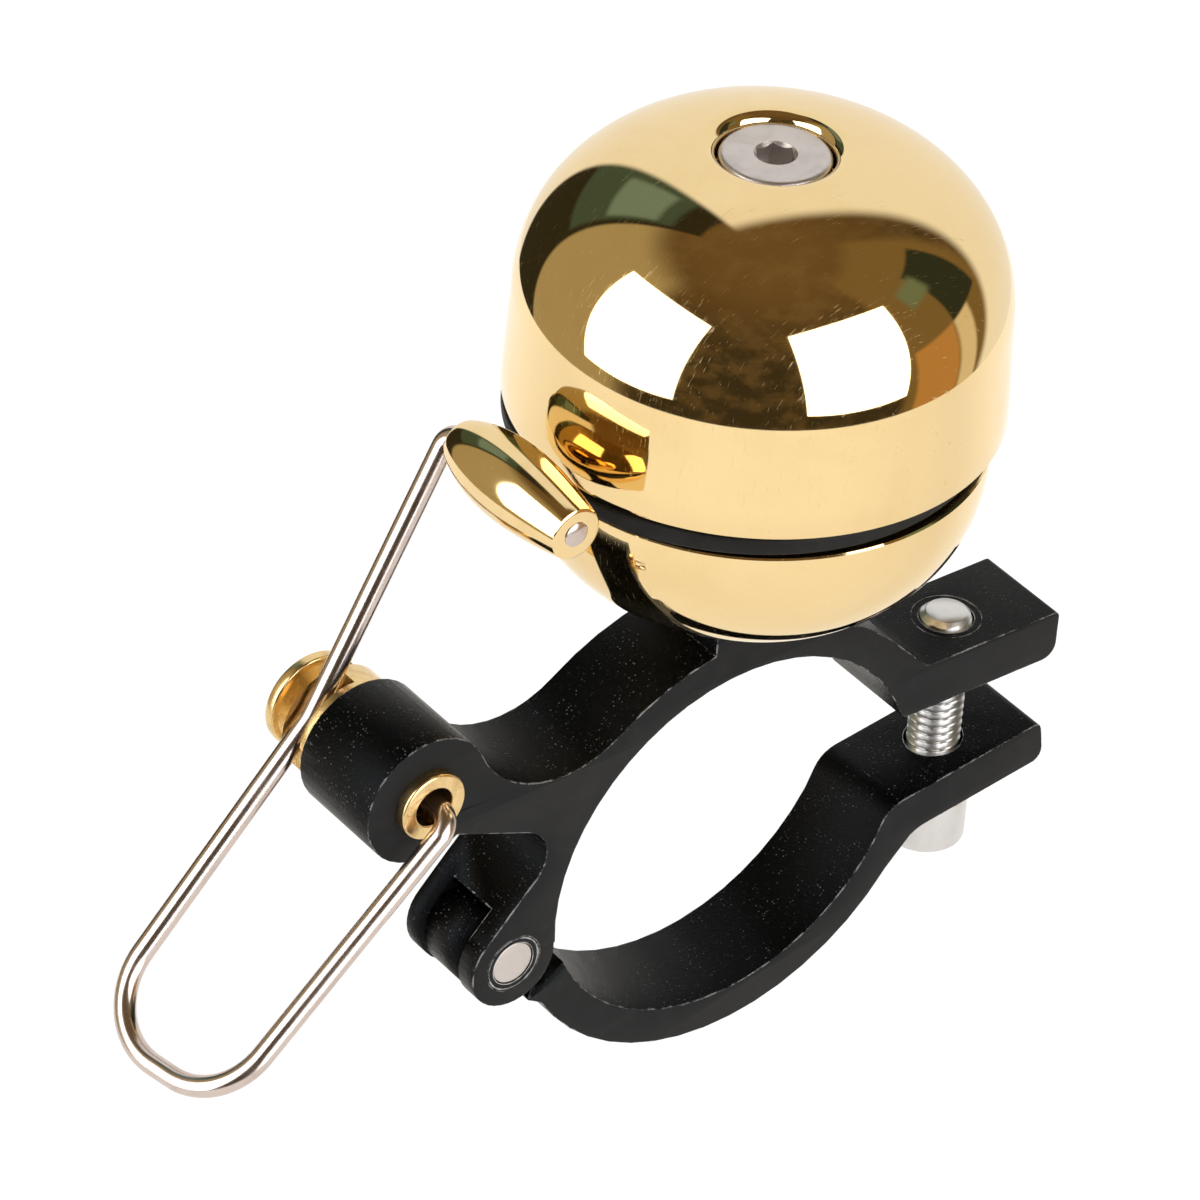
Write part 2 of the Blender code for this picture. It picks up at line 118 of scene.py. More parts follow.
def rounded(corners: Sequence[Corner], steps: int = 5) -> list[Point]:
    """Rounds the corners of a closed outline.

    Args:
        corners: (radius, height, round) of each corner in turn; a round of 0 keeps it sharp.
        steps: segments in each round.

    Returns:
        The outline's points.
    """
    points: list[Point] = []
    places = [Vector(corner[:2]) for corner in corners]
    for i, (x, y, size) in enumerate(corners):
        if size == 0:
            points.append((x, y))
            continue
        after = places[(i + 1) % len(places)]
        points += [tuple(place) for place in corner_arc(places[i - 1], places[i], after, size, steps)]
    return points


def oval(half_width: float, rise: float, base: float, power: float, ends: Point, count: int) -> list[Point]:
    """Points along a quarter of a squared-off oval.

    Args:
        half_width: the oval's radius.
        rise: its height above the base.
        base: height of its widest part.
        power: 2 for an ellipse, more for squarer shoulders.
        ends: the first and the last radius.
        count: number of steps.

    Returns:
        (radius, height) points.
    """
    first, last = (math.acos(min(1.0, r / half_width) ** (power / 2)) for r in ends)
    points = []
    for i in range(count + 1):
        angle = first + (last - first) * i / count
        radius = half_width * math.cos(angle) ** (2 / power)
        points.append((radius, base + rise * math.sin(angle) ** (2 / power)))
    return points


def smooth_piece(name: str, shape: bmesh.types.BMesh, crease: float = CREASE) -> bpy.types.Object:
    """Turns a bmesh into a shaded object at the origin.

    Args:
        name: the piece's name.
        shape: the mesh, in metres, which is freed.
        crease: edges that turn by more than this many degrees stay sharp.

    Returns:
        The new object.
    """
    bmesh.ops.recalc_face_normals(shape, faces=shape.faces)
    mesh = bpy.data.meshes.new(name)
    shape.to_mesh(mesh)
    shape.free()
    mesh.shade_smooth()
    mesh.set_sharp_from_angle(angle=math.radians(crease))
    piece = bpy.data.objects.new(name, mesh)
    bpy.context.scene.collection.objects.link(piece)
    return piece


def join_rings(shape: bmesh.types.BMesh, rings: Sequence[list[bmesh.types.BMVert]]) -> None:
    """Fills the skin between rings of vertices; a ring of one vertex is a point on the axis.

    Args:
        shape: the mesh that gets the faces.
        rings: rings of vertices, in order.
    """
    for lower, upper in zip(rings, rings[1:]):
        count = max(len(lower), len(upper))
        if count == 1:
            continue
        for i in range(count):
            k = (i + 1) % count
            turns = ((lower, i), (lower, k), (upper, k), (upper, i))
            corners = [ring[turn % len(ring)] for ring, turn in turns]
            shape.faces.new(list(dict.fromkeys(corners)))


def turned(name: str, profile: Sequence[Point], centre: Vector, along: Along = Along.UP,
           steps: int = 96, crease: float = CREASE) -> bpy.types.Object:
    """Turns a closed profile about its axis.

    Args:
        name: the piece's name.
        profile: (radius, height) points in millimetres.
        centre: a point of the axis in metres, from which heights count.
        along: the way of the axis.
        steps: segments round a full turn.
        crease: edges that turn by more than this many degrees stay sharp.

    Returns:
        The turned piece.
    """
    shape = bmesh.new()
    rings = []
    for radius, height in [*profile, profile[0]]:
        count = 1 if radius < 1e-6 else steps
        ring = []
        for i in range(count):
            angle = 2 * math.pi * i / steps
            flat = (radius * math.cos(angle) * MM, radius * math.sin(angle) * MM)
            if along is Along.UP:
                place = Vector((flat[0], flat[1], height * MM))
            else:
                place = Vector((flat[0], height * MM, flat[1]))
            ring.append(shape.verts.new(centre + place))
        rings.append(ring)
    join_rings(shape, rings)
    bmesh.ops.remove_doubles(shape, verts=shape.verts, dist=1e-8)
    return smooth_piece(name, shape, crease)


def swept(name: str, path: Sequence[Vector], radius: float, sides: int = 28, dome: float = 0.12,
          peen: float = 0.9) -> bpy.types.Object:
    """Sweeps a round wire along a path, with slightly domed ends.

    Args:
        name: the piece's name.
        path: points in metres.
        radius: the wire's radius in millimetres.
        sides: segments round the wire.
        dome: how far its ends bulge, in millimetres.
        peen: how wide its last end is hammered, as a share of the radius.

    Returns:
        The wire.
    """
    shape = bmesh.new()
    ways = [(after - before).normalized() for before, after in zip(path, path[1:])]
    across = ways[0].orthogonal().normalized()
    rings = [[shape.verts.new(path[0] - ways[0] * dome * MM)]]
    for i, place in enumerate(path):
        way = (ways[max(i - 1, 0)] + ways[min(i, len(ways) - 1)]).normalized()
        across = (across - way * across.dot(way)).normalized()
        other = way.cross(across)
        for share, ahead in ((0.72, -0.05), (1.0, 0.06)) if i == 0 else ((1.0, 0.0),):
            middle = place + way * ahead * MM
            ring = []
            for k in range(sides):
                angle = 2 * math.pi * k / sides
                arm = across * math.cos(angle) + other * math.sin(angle)
                ring.append(shape.verts.new(middle + arm * radius * share * MM))
            rings.append(ring)
    end = path[-1]
    arms = [vertex.co - end for vertex in rings[-1]]
    for share, ahead in ((peen, 0.02), (peen, dome), (peen * 0.9, dome + 0.06)):
        rings.append([shape.verts.new(end + arm * share + ways[-1] * ahead * MM) for arm in arms])
    rings.append([shape.verts.new(end + ways[-1] * (dome + 0.08) * MM)])
    join_rings(shape, rings)
    return smooth_piece(name, shape, 50.0)


def bent(route: Sequence[tuple[float, float, float, float]]) -> list[Vector]:
    """Joins a wire's corners by straight runs and round bends.

    Args:
        route: (x, y, z, bend radius) of each corner in millimetres.

    Returns:
        Points in metres.
    """
    places = [Vector(corner[:3]) for corner in route]
    points = [places[0]]
    for i in range(1, len(route) - 1):
        points += corner_arc(places[i - 1], places[i], places[i + 1], route[i][3])
    points.append(places[-1])
    return [point * MM for point in points]


def threaded(name: str, centre: Vector, radius: float, pitch: float, low: float,
             high: float) -> bpy.types.Object:
    """A threaded shank with chamfered ends.

    Args:
        name: the piece's name.
        centre: a point of the axis in metres, from which heights count.
        radius: outside radius of the thread, in millimetres.
        pitch: rise of one turn.
        low: height of the shank's lower end.
        high: height of its upper end.

    Returns:
        The shank.
    """
    depth = 0.58 * pitch
    sides = 48
    per_turn = 12
    count = math.ceil((high - low) / pitch * per_turn)
    shape = bmesh.new()
    rings = [[shape.verts.new(centre + Vector((0, 0, low * MM)))]]
    for i in range(count + 1):
        height = low + (high - low) * i / count
        ring = []
        for k in range(sides):
            turn = (height / pitch - k / sides) % 1.0
            flank = min(1.0, max(0.0, abs(turn - 0.5) * 2.6 - 0.2))
            upper_chamfer = radius - 0.5 + 1.2 * (high - height)
            lower_chamfer = radius - 0.3 + (height - low)
            reach = min(radius - depth * flank, upper_chamfer, lower_chamfer)
            angle = 2 * math.pi * k / sides
            place = Vector((reach * math.cos(angle), reach * math.sin(angle), height))
            ring.append(shape.verts.new(centre + place * MM))
        rings.append(ring)
    rings.append([shape.verts.new(centre + Vector((0, 0, high * MM)))])
    join_rings(shape, rings)
    return smooth_piece(name, shape, 40.0)


def prism(name: str, across_flats: float, low: float, high: float, centre: Vector) -> bpy.types.Object:
    """A hexagon bar for cutting a key socket.

    Args:
        name: the cutter's name.
        across_flats: width of the hexagon in millimetres.
        low: height of its lower end.
        high: height of its upper end.
        centre: a point of the axis in metres, from which heights count.

    Returns:
        The cutter.
    """
    radius = across_flats / 2 / math.cos(math.radians(30))
    profile = [(0, low), (radius, low), (radius, high), (0, high)]
    return turned(name, profile, centre, steps=6)


def carve(piece: bpy.types.Object, cutter: bpy.types.Object, crease: float = CREASE) -> None:
    """Cuts one solid away from a piece for good and removes the cutter.

    Args:
        piece: the piece that is cut.
        cutter: the solid that is taken away.
        crease: edges that turn by more than this many degrees stay sharp.
    """
    boolean = piece.modifiers.new("carve", "BOOLEAN")
    boolean.operation = "DIFFERENCE"
    boolean.solver = "EXACT"
    boolean.object = cutter
    graph = bpy.context.evaluated_depsgraph_get()
    carved = bpy.data.meshes.new_from_object(piece.evaluated_get(graph))
    piece.modifiers.clear()
    piece.data = carved
    carved.set_sharp_from_angle(angle=math.radians(crease))
    bpy.data.objects.remove(cutter)


def joined(name: str, parts: Sequence[bpy.types.Object]) -> bpy.types.Object:
    """Joins meshes that are one solid piece in the metal.

    Args:
        name: the joined piece's name.
        parts: the meshes, which are used up.

    Returns:
        The joined piece.
    """
    with bpy.context.temp_override(active_object=parts[0], selected_editable_objects=list(parts)):
        bpy.ops.object.join()
    parts[0].name = name
    parts[0].data.name = name
    return parts[0]


def welded_copy(node: str, crease: float = 40.0) -> bpy.types.Object:
    """A smooth-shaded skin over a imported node, with its split vertices welded.

    Args:
        node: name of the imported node.
        crease: edges that turn by more than this many degrees stay sharp.

    Returns:
        The skin, under the node's name with _skin added.
    """
    shape = bmesh.new()
    shape.from_mesh(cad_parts[node].data)
    bmesh.ops.remove_doubles(shape, verts=shape.verts, dist=2e-6)
    return smooth_piece(node + "_skin", shape, crease)


# ---------------------------------------------------------------- node wiring

class Wiring:
    """Adds nodes to a material, world or group and joins them."""

    def __init__(self, tree: bpy.types.NodeTree) -> None:
        """Starts wiring a node tree.

        Args:
            tree: the tree that gets the nodes.
        """
        self.tree = tree

    def fill(self, socket: bpy.types.NodeSocket, value: Any) -> None:
        """Links or sets an input.

        Args:
            socket: the input.
            value: an output to link, or a value; a colour of three numbers becomes opaque.
        """
        if isinstance(value, bpy.types.NodeSocket):
            self.tree.links.new(value, socket)
        elif socket.type == "RGBA" and len(value) == 3:
            socket.default_value = (*value, 1.0)
        else:
            socket.default_value = value

    def add(self, kind: str, inputs: dict[Any, Any] | None = None, **settings: Any) -> bpy.types.Node:
        """Adds one node.

        Args:
            kind: the node's type name.
            inputs: values or sockets by the input's name or number.
            settings: attributes of the node.

        Returns:
            The new node.
        """
        node = self.tree.nodes.new(kind)
        for key, value in settings.items():
            setattr(node, key, value)
        for key, value in (inputs or {}).items():
            self.fill(node.inputs[key], value)
        return node

    def group(self, tree: bpy.types.NodeTree, **inputs: Any) -> bpy.types.Node:
        """Places a node group.

        Args:
            tree: the group.
            inputs: values or sockets by the input's name.

        Returns:
            The group's node.
        """
        node = self.tree.nodes.new("ShaderNodeGroup")
        node.node_tree = tree
        for key, value in inputs.items():
            self.fill(node.inputs[key], value)
        return node

    def math(self, operation: str, *values: Any) -> bpy.types.NodeSocket:
        """Adds a Math node and gives its result."""
        return self.add("ShaderNodeMath", dict(enumerate(values)), operation=operation).outputs[0]

    def vector_math(self, operation: str, *values: Any) -> bpy.types.Node:
        """Adds a Vector Math node."""
        return self.add("ShaderNodeVectorMath", dict(enumerate(values)), operation=operation)

    def along(self, way: Any, axis: Any) -> bpy.types.NodeSocket:
        """Adds a dot product and gives its result."""
        return self.vector_math("DOT_PRODUCT", way, axis).outputs["Value"]

    def mix(self, share: Any, first: Any, second: Any) -> bpy.types.NodeSocket:
        """Adds a colour Mix node and gives its result."""
        node = self.add("ShaderNodeMix", {0: share, 6: first, 7: second}, data_type="RGBA")
        return node.outputs[2]

    def ramp(self, value: Any, low: float, high: float) -> bpy.types.NodeSocket:
        """Adds a smooth step from 0 at low to 1 at high and gives its result."""
        inputs = {"Value": value, "From Min": low, "From Max": high}
        return self.add("ShaderNodeMapRange", inputs, interpolation_type="SMOOTHSTEP").outputs["Result"]

    def place(self) -> bpy.types.NodeSocket:
        """Adds the object's own coordinates."""
        return self.add("ShaderNodeTexCoord").outputs["Object"]

    def noise(self, place: Any, scale: Any, detail: float, roughness: float = 0.5,
              distortion: float = 0.0) -> bpy.types.NodeSocket:
        """Adds a noise texture.

        Args:
            place: where it is sampled.
            scale: its grains in each metre.
            detail: its octaves.
            roughness: the strength of its finer octaves.
            distortion: how much it is warped.

        Returns:
            Its value.
        """
        inputs = {"Vector": place, "Scale": scale, "Detail": detail, "Roughness": roughness,
                  "Distortion": distortion}
        return self.add("ShaderNodeTexNoise", inputs).outputs[0]

    def bump(self, height: Any, distance: float, under: Any = None) -> bpy.types.NodeSocket:
        """Adds relief.

        Args:
            height: its height, 0 to 1.
            distance: what a height of 1 stands for, in metres.
            under: the normal that it lies on, if not the face's own.

        Returns:
            The normal.
        """
        inputs = {"Height": height, "Distance": distance, "Strength": 1.0}
        if under is not None:
            inputs["Normal"] = under
        return self.add("ShaderNodeBump", inputs).outputs[0]


class Socket(Enum):
    """The kinds of socket that the groups use."""

    VALUE = "NodeSocketFloat"
    COLOUR = "NodeSocketColor"
    VECTOR = "NodeSocketVector"


def new_group(name: str, inputs: dict[str, Socket], outputs: dict[str, Socket]) -> tuple[Wiring, Any, Any]:
    """Makes an empty shader group.

    Args:
        name: the group's name.
        inputs: its inputs by name.
        outputs: its outputs by name.

    Returns:
        Its wiring, the sockets of its input node and those of its output node.
    """
    tree = bpy.data.node_groups.new(name, "ShaderNodeTree")
    for label, kind in inputs.items():
        tree.interface.new_socket(name=label, in_out="INPUT", socket_type=kind.value)
    for label, kind in outputs.items():
        tree.interface.new_socket(name=label, in_out="OUTPUT", socket_type=kind.value)
    wiring = Wiring(tree)
    return wiring, wiring.add("NodeGroupInput").outputs, wiring.add("NodeGroupOutput").inputs


# ---------------------------------------------------------------- shared surface effects

class Effects:
    """The surface effects that several finishes share, each one node group built once."""

    EDGE_GAIN = 9.0
    EDGE_BREAKUP = 11.0
    WORN = (0.4, 1.3)
    NEAR_EDGE = (0.08, 0.5)
    PAINTED_GLINT_CHANCE = (0.8, 0.97)
    GRAIN_CORE = (0.5, 0.1)
    PATCH_SCALE = 420.0
    PATCH = (0.35, 0.7)
    SCRATCH_RUNS = ((0.6, 0.0), (-0.9, 4.0))
    SCRATCH_TILT = 0.4
    SCRATCH_STRETCH = (0.45, 15.0, 0.7)
    SCRATCHED = (0.71, 0.83)
    CLOUDED = (0.38, 0.78)

    def __init__(self) -> None:
        """Builds every group."""
        self.edge_wear = self._edge_wear()
        self.blasting = self._blasting()
        self.ripple = self._ripple()
        self.hairlines = self._hairlines()
        self.turning = self._turning()
        self.tarnish = self._tarnish()

    def _edge_wear(self) -> bpy.types.NodeTree:
        """Worn corners, broken up by noise.

        Returns:
            A group that puts out Mask, 1 where the coat is rubbed through.
        """
        inputs = {"Reach": Socket.VALUE, "Scale": Socket.VALUE, "Amount": Socket.VALUE}
        wiring, given, result = new_group("edge_wear", inputs, {"Mask": Socket.VALUE})
        bevel = wiring.add("ShaderNodeBevel", {"Radius": given["Reach"]}, samples=6)
        face = wiring.add("ShaderNodeNewGeometry")
        turn = wiring.along(bevel.outputs[0], face.outputs["Normal"])
        edge = wiring.math("MULTIPLY", wiring.math("SUBTRACT", 1.0, turn), self.EDGE_GAIN)
        coarse = wiring.noise(wiring.place(), given["Scale"], 6.0, 0.7)
        bias = wiring.math("SUBTRACT", given["Amount"], coarse)
        worn = wiring.math("ADD", edge, wiring.math("MULTIPLY", bias, self.EDGE_BREAKUP))
        mask = wiring.math("MULTIPLY", wiring.ramp(worn, *self.WORN), wiring.ramp(edge, *self.NEAR_EDGE))
        wiring.fill(result["Mask"], mask)
        return wiring.tree

    def _blasting(self) -> bpy.types.NodeTree:
        """The fine pitted grain of a blasted casting.

        Returns:
            A group that puts out Height, and a mask of the few grains where a painted glint goes into the
            colour.
        """
        outputs = {"Height": Socket.VALUE, "Painted Glint": Socket.VALUE}
        wiring, given, result = new_group("blasting", {"Grain": Socket.VALUE}, outputs)
        place = wiring.place()
        pits = wiring.noise(place, given["Grain"], 3.0, 0.65)
        cells = wiring.add("ShaderNodeTexVoronoi", {"Vector": place, "Scale": given["Grain"]}).outputs
        chance = wiring.add("ShaderNodeSeparateColor", {0: cells["Color"]}).outputs[0]
        # Painted glint: picks the few grains whose colour is lifted to stand for light they catch.
        painted_glint_spot = wiring.math("MULTIPLY", wiring.ramp(chance, *self.PAINTED_GLINT_CHANCE),
                           wiring.ramp(cells["Distance"], *self.GRAIN_CORE))
        patch = wiring.noise(place, self.PATCH_SCALE, 2.0)
        wiring.fill(result["Height"], pits)
        wiring.fill(result["Painted Glint"], wiring.math("MULTIPLY", painted_glint_spot, wiring.ramp(patch, *self.PATCH)))
        return wiring.tree

    def _ripple(self) -> bpy.types.NodeTree:
        """The slow unevenness that buffing leaves in sheet metal.

        Returns:
            A group that puts out Height.
        """
        wiring, given, result = new_group("ripple", {"Scale": Socket.VALUE}, {"Height": Socket.VALUE})
        wiring.fill(result["Height"], wiring.noise(wiring.place(), given["Scale"], 2.0, 0.4))
        return wiring.tree

    def _hairlines(self) -> bpy.types.NodeTree:
        """Sparse fine scratches that run in two slanting directions.

        Returns:
            A group that puts out Mask, 1 in a scratch.
        """
        inputs = {"Scale": Socket.VALUE, "Amount": Socket.VALUE}
        wiring, given, result = new_group("hairlines", inputs, {"Mask": Socket.VALUE})
        place = wiring.place()
        masks = []
        for turn, shift in self.SCRATCH_RUNS:
            stretch = wiring.add("ShaderNodeMapping", {
                "Vector": place, "Location": (shift, shift, 0.0), "Rotation": (turn, self.SCRATCH_TILT, turn),
                "Scale": self.SCRATCH_STRETCH})
            lines = wiring.noise(stretch.outputs[0], given["Scale"], 4.0, 0.75)
            masks.append(wiring.ramp(wiring.math("ADD", lines, given["Amount"]), *self.SCRATCHED))
        wiring.fill(result["Mask"], wiring.math("MAXIMUM", *masks))
        return wiring.tree

    def _turning(self) -> bpy.types.NodeTree:
        """The rings that a lathe tool leaves round an axis along the bar.

        Returns:
            A group that puts out Height.
        """
        inputs = {"Centre": Socket.VECTOR, "Rings": Socket.VALUE}
        wiring, given, result = new_group("turning", inputs, {"Height": Socket.VALUE})
        arm = wiring.vector_math("SUBTRACT", wiring.place(), given["Centre"])
        parts = wiring.add("ShaderNodeSeparateXYZ", {0: arm.outputs[0]}).outputs
        flat = wiring.add("ShaderNodeCombineXYZ", {"X": parts["X"], "Z": parts["Z"]})
        reach = wiring.vector_math("LENGTH", flat.outputs[0]).outputs["Value"]
        spread = wiring.math("ADD", reach, parts["Y"])
        rings = wiring.add("ShaderNodeTexNoise", {"W": spread, "Scale": given["Rings"], "Detail": 3.0},
                           noise_dimensions="1D")
        wiring.fill(result["Height"], rings.outputs[0])
        return wiring.tree

    def _tarnish(self) -> bpy.types.NodeTree:
        """Faint clouding from fingers and age.

        Returns:
            A group that puts out Color and Mask.
        """
        inputs = {"Bright": Socket.COLOUR, "Dull": Socket.COLOUR, "Scale": Socket.VALUE,
                  "Amount": Socket.VALUE}
        wiring, given, result = new_group("tarnish", inputs, {"Color": Socket.COLOUR, "Mask": Socket.VALUE})
        clouds = wiring.noise(wiring.place(), given["Scale"], 6.0, 0.62, 0.6)
        mask = wiring.math("MULTIPLY", wiring.ramp(clouds, *self.CLOUDED), given["Amount"])
        wiring.fill(result["Mask"], mask)
        wiring.fill(result["Color"], wiring.mix(mask, given["Bright"], given["Dull"]))
        return wiring.tree


# ---------------------------------------------------------------- finishes

def blank_material(name: str) -> tuple[bpy.types.Material, Wiring, Any]:
    """Makes a material with its Principled shader only.

    Args:
        name: the material's name.

    Returns:
        The material, its wiring and its shader's inputs.
    """
    made = bpy.data.materials.new(name)
    made.use_nodes = True
    return made, Wiring(made.node_tree), made.node_tree.nodes["Principled BSDF"].inputs


@dataclass(frozen=True)
class Metal:
    """A bare or plated metal: its clouding, its scratches and the unevenness under the shine."""

    name: str
    bright: Colour
    dull: Colour
    roughness: float
    cloud_scale: float = 120.0
    cloud_amount: float = 0.35
    ripple_scale: float = 60.0
    ripple_depth: float = 0.0000012
    scratch_scale: float = 900.0
    scratch_amount: float = 0.0
    scratch_roughness: float = 0.35
    grain: float = 0.0
    grain_depth: float = 0.000004
    coat: float = 0.0
    coat_roughness: float = 0.02

    def make(self, effects: Effects) -> bpy.types.Material:
        """Builds the finish.

        Args:
            effects: the shared groups.

        Returns:
            The material.
        """
        made, wiring, shader = blank_material(self.name)
        shader["Metallic"].default_value = 1.0
        shader["Coat Weight"].default_value = self.coat
        shader["Coat Roughness"].default_value = self.coat_roughness
        clouds = wiring.group(effects.tarnish, Bright=self.bright, Dull=self.dull, Scale=self.cloud_scale,
                              Amount=self.cloud_amount).outputs
        wiring.fill(shader["Base Color"], clouds["Color"])
        scratches = wiring.group(effects.hairlines, Scale=self.scratch_scale, Amount=self.scratch_amount)
        spread = wiring.math("MULTIPLY", scratches.outputs["Mask"], self.scratch_roughness)
        clouded = wiring.math("MULTIPLY_ADD", clouds["Mask"], self.roughness, self.roughness)
        wiring.fill(shader["Roughness"], wiring.math("ADD", clouded, spread))
        ripple = wiring.group(effects.ripple, Scale=self.ripple_scale)
        normal = wiring.bump(ripple.outputs["Height"], self.ripple_depth)
        if self.grain:
            pits = wiring.group(effects.blasting, Grain=self.grain)
            normal = wiring.bump(pits.outputs["Height"], self.grain_depth, normal)
        wiring.fill(shader["Normal"], normal)
        return made


@dataclass(frozen=True)
class TurnedMetal:
    """A small piece straight from the lathe, with rings round its own axis."""

    name: str
    bright: Colour
    dull: Colour
    roughness: float
    axis: Vector
    cloud_scale: float = 700.0
    cloud_amount: float = 0.6
    cloud_roughness: float = 0.2
    rings: float = 5200.0
    ring_depth: float = 0.000006
    grain: float = 5200.0
    grain_depth: float = 0.000008

    def make(self, effects: Effects) -> bpy.types.Material:
        """Builds the finish.

        Args:
            effects: the shared groups.

        Returns:
            The material.
        """
        made, wiring, shader = blank_material(self.name)
        shader["Metallic"].default_value = 1.0
        clouds = wiring.group(effects.tarnish, Bright=self.bright, Dull=self.dull, Scale=self.cloud_scale,
                              Amount=self.cloud_amount).outputs
        wiring.fill(shader["Base Color"], clouds["Color"])
        matt = wiring.math("MULTIPLY_ADD", clouds["Mask"], self.cloud_roughness, self.roughness)
        wiring.fill(shader["Roughness"], matt)
        marks = wiring.group(effects.turning, Centre=tuple(self.axis), Rings=self.rings)
        ringed = wiring.bump(marks.outputs["Height"], self.ring_depth)
        pits = wiring.group(effects.blasting, Grain=self.grain)
        wiring.fill(shader["Normal"], wiring.bump(pits.outputs["Height"], self.grain_depth, ringed))
        return made


@dataclass(frozen=True)
class BlackCasting:
    """Black anodised aluminium: blasted all round, milled on its two side faces, worn at the edges; a few
    blasted grains get a painted glint, a lighter colour that stands for light they catch.
    """

    name: str = "black_anodised_casting"
    blasted: Colour = (0.0007, 0.0007, 0.0008)
    milled: Colour = (0.015, 0.015, 0.0155)
    milled_dull: Colour = (0.024, 0.024, 0.0245)
    # Light grey painted into a few blasted grains as glints of light.
    painted_glint: Colour = (0.22, 0.22, 0.23)
    bare: Colour = (0.62, 0.62, 0.63)
    tint: Colour = (0.82, 0.91, 1.0)
    shine: float = 0.09
    side_face: Point = (0.86, 0.97)
    cloud_scale: float = 300.0
    cloud_amount: float = 0.5
    painted_glint_share: float = 0.6
    wear: float = 0.5
    wear_reach: float = 0.00015
    wear_scale: float = 900.0
    wear_metallic: float = 0.3
    wear_polish: float = 0.12
    blasted_roughness: float = 0.27
    milled_roughness: float = 0.49
    grain: float = 5600.0
    grain_depth: float = 0.00006
    milled_grain: float = 0.15

    def make(self, effects: Effects) -> bpy.types.Material:
        """Builds the finish.

        Args:
            effects: the shared groups.

        Returns:
            The material.
        """
        made, wiring, shader = blank_material(self.name)
        shader["Specular IOR Level"].default_value = self.shine
        shader["Specular Tint"].default_value = (*self.tint, 1.0)
        normal = wiring.add("ShaderNodeNewGeometry").outputs["Normal"]
        parts = wiring.add("ShaderNodeSeparateXYZ", {0: normal}).outputs
        side = wiring.ramp(wiring.math("ABSOLUTE", parts["Y"]), *self.side_face)
        grain = wiring.group(effects.blasting, Grain=self.grain).outputs
        soft = wiring.group(effects.tarnish, Bright=self.milled, Dull=self.milled_dull,
                            Scale=self.cloud_scale, Amount=self.cloud_amount)
        ground = wiring.mix(side, self.blasted, soft.outputs["Color"])
        # Painted glints: off the milled faces, a few grains are mixed towards a light grey, as if they caught
        # the light.
        lit = wiring.math("MULTIPLY", grain["Painted Glint"], wiring.math("SUBTRACT", 1.0, side))
        glint_painted_colour = wiring.mix(wiring.math("MULTIPLY", lit, self.painted_glint_share), ground, self.painted_glint)
        rubbed = wiring.group(effects.edge_wear, Reach=self.wear_reach, Scale=self.wear_scale,
                              Amount=self.wear).outputs["Mask"]
        wiring.fill(shader["Base Color"], wiring.mix(rubbed, glint_painted_colour, self.bare))
        wiring.fill(shader["Metallic"], wiring.math("MULTIPLY", rubbed, self.wear_metallic))
        added = self.milled_roughness - self.blasted_roughness
        matt = wiring.math("MULTIPLY_ADD", side, added, self.blasted_roughness)
        polished = wiring.math("MULTIPLY", rubbed, self.wear_polish)
        wiring.fill(shader["Roughness"], wiring.math("SUBTRACT", matt, polished))
        relief = wiring.math("MULTIPLY_ADD", side, self.milled_grain - 1.0, 1.0)
        height = wiring.math("MULTIPLY", grain["Height"], relief)
        wiring.fill(shader["Normal"], wiring.bump(height, self.grain_depth))
        return made


@dataclass(frozen=True)
class Rubber:
    """Matt black rubber or fibre with dust in its grain."""

    name: str = "matt_black_rubber"
    clean: Colour = (0.005, 0.005, 0.005)
    dusty: Colour = (0.02, 0.02, 0.02)
    roughness: float = 0.55
    shine: float = 0.25
    dust_scale: float = 500.0
    dust_amount: float = 0.7
    dust_roughness: float = 0.2
    grain: float = 4200.0
    grain_depth: float = 0.00001

    def make(self, effects: Effects) -> bpy.types.Material:
        """Builds the finish.

        Args:
            effects: the shared groups.

        Returns:
            The material.
        """
        made, wiring, shader = blank_material(self.name)
        shader["Specular IOR Level"].default_value = self.shine
        dust = wiring.group(effects.tarnish, Bright=self.clean, Dull=self.dusty, Scale=self.dust_scale,
                            Amount=self.dust_amount).outputs
        wiring.fill(shader["Base Color"], dust["Color"])
        matt = wiring.math("MULTIPLY_ADD", dust["Mask"], self.dust_roughness, self.roughness)
        wiring.fill(shader["Roughness"], matt)
        pits = wiring.group(effects.blasting, Grain=self.grain)
        wiring.fill(shader["Normal"], wiring.bump(pits.outputs["Height"], self.grain_depth))
        return made


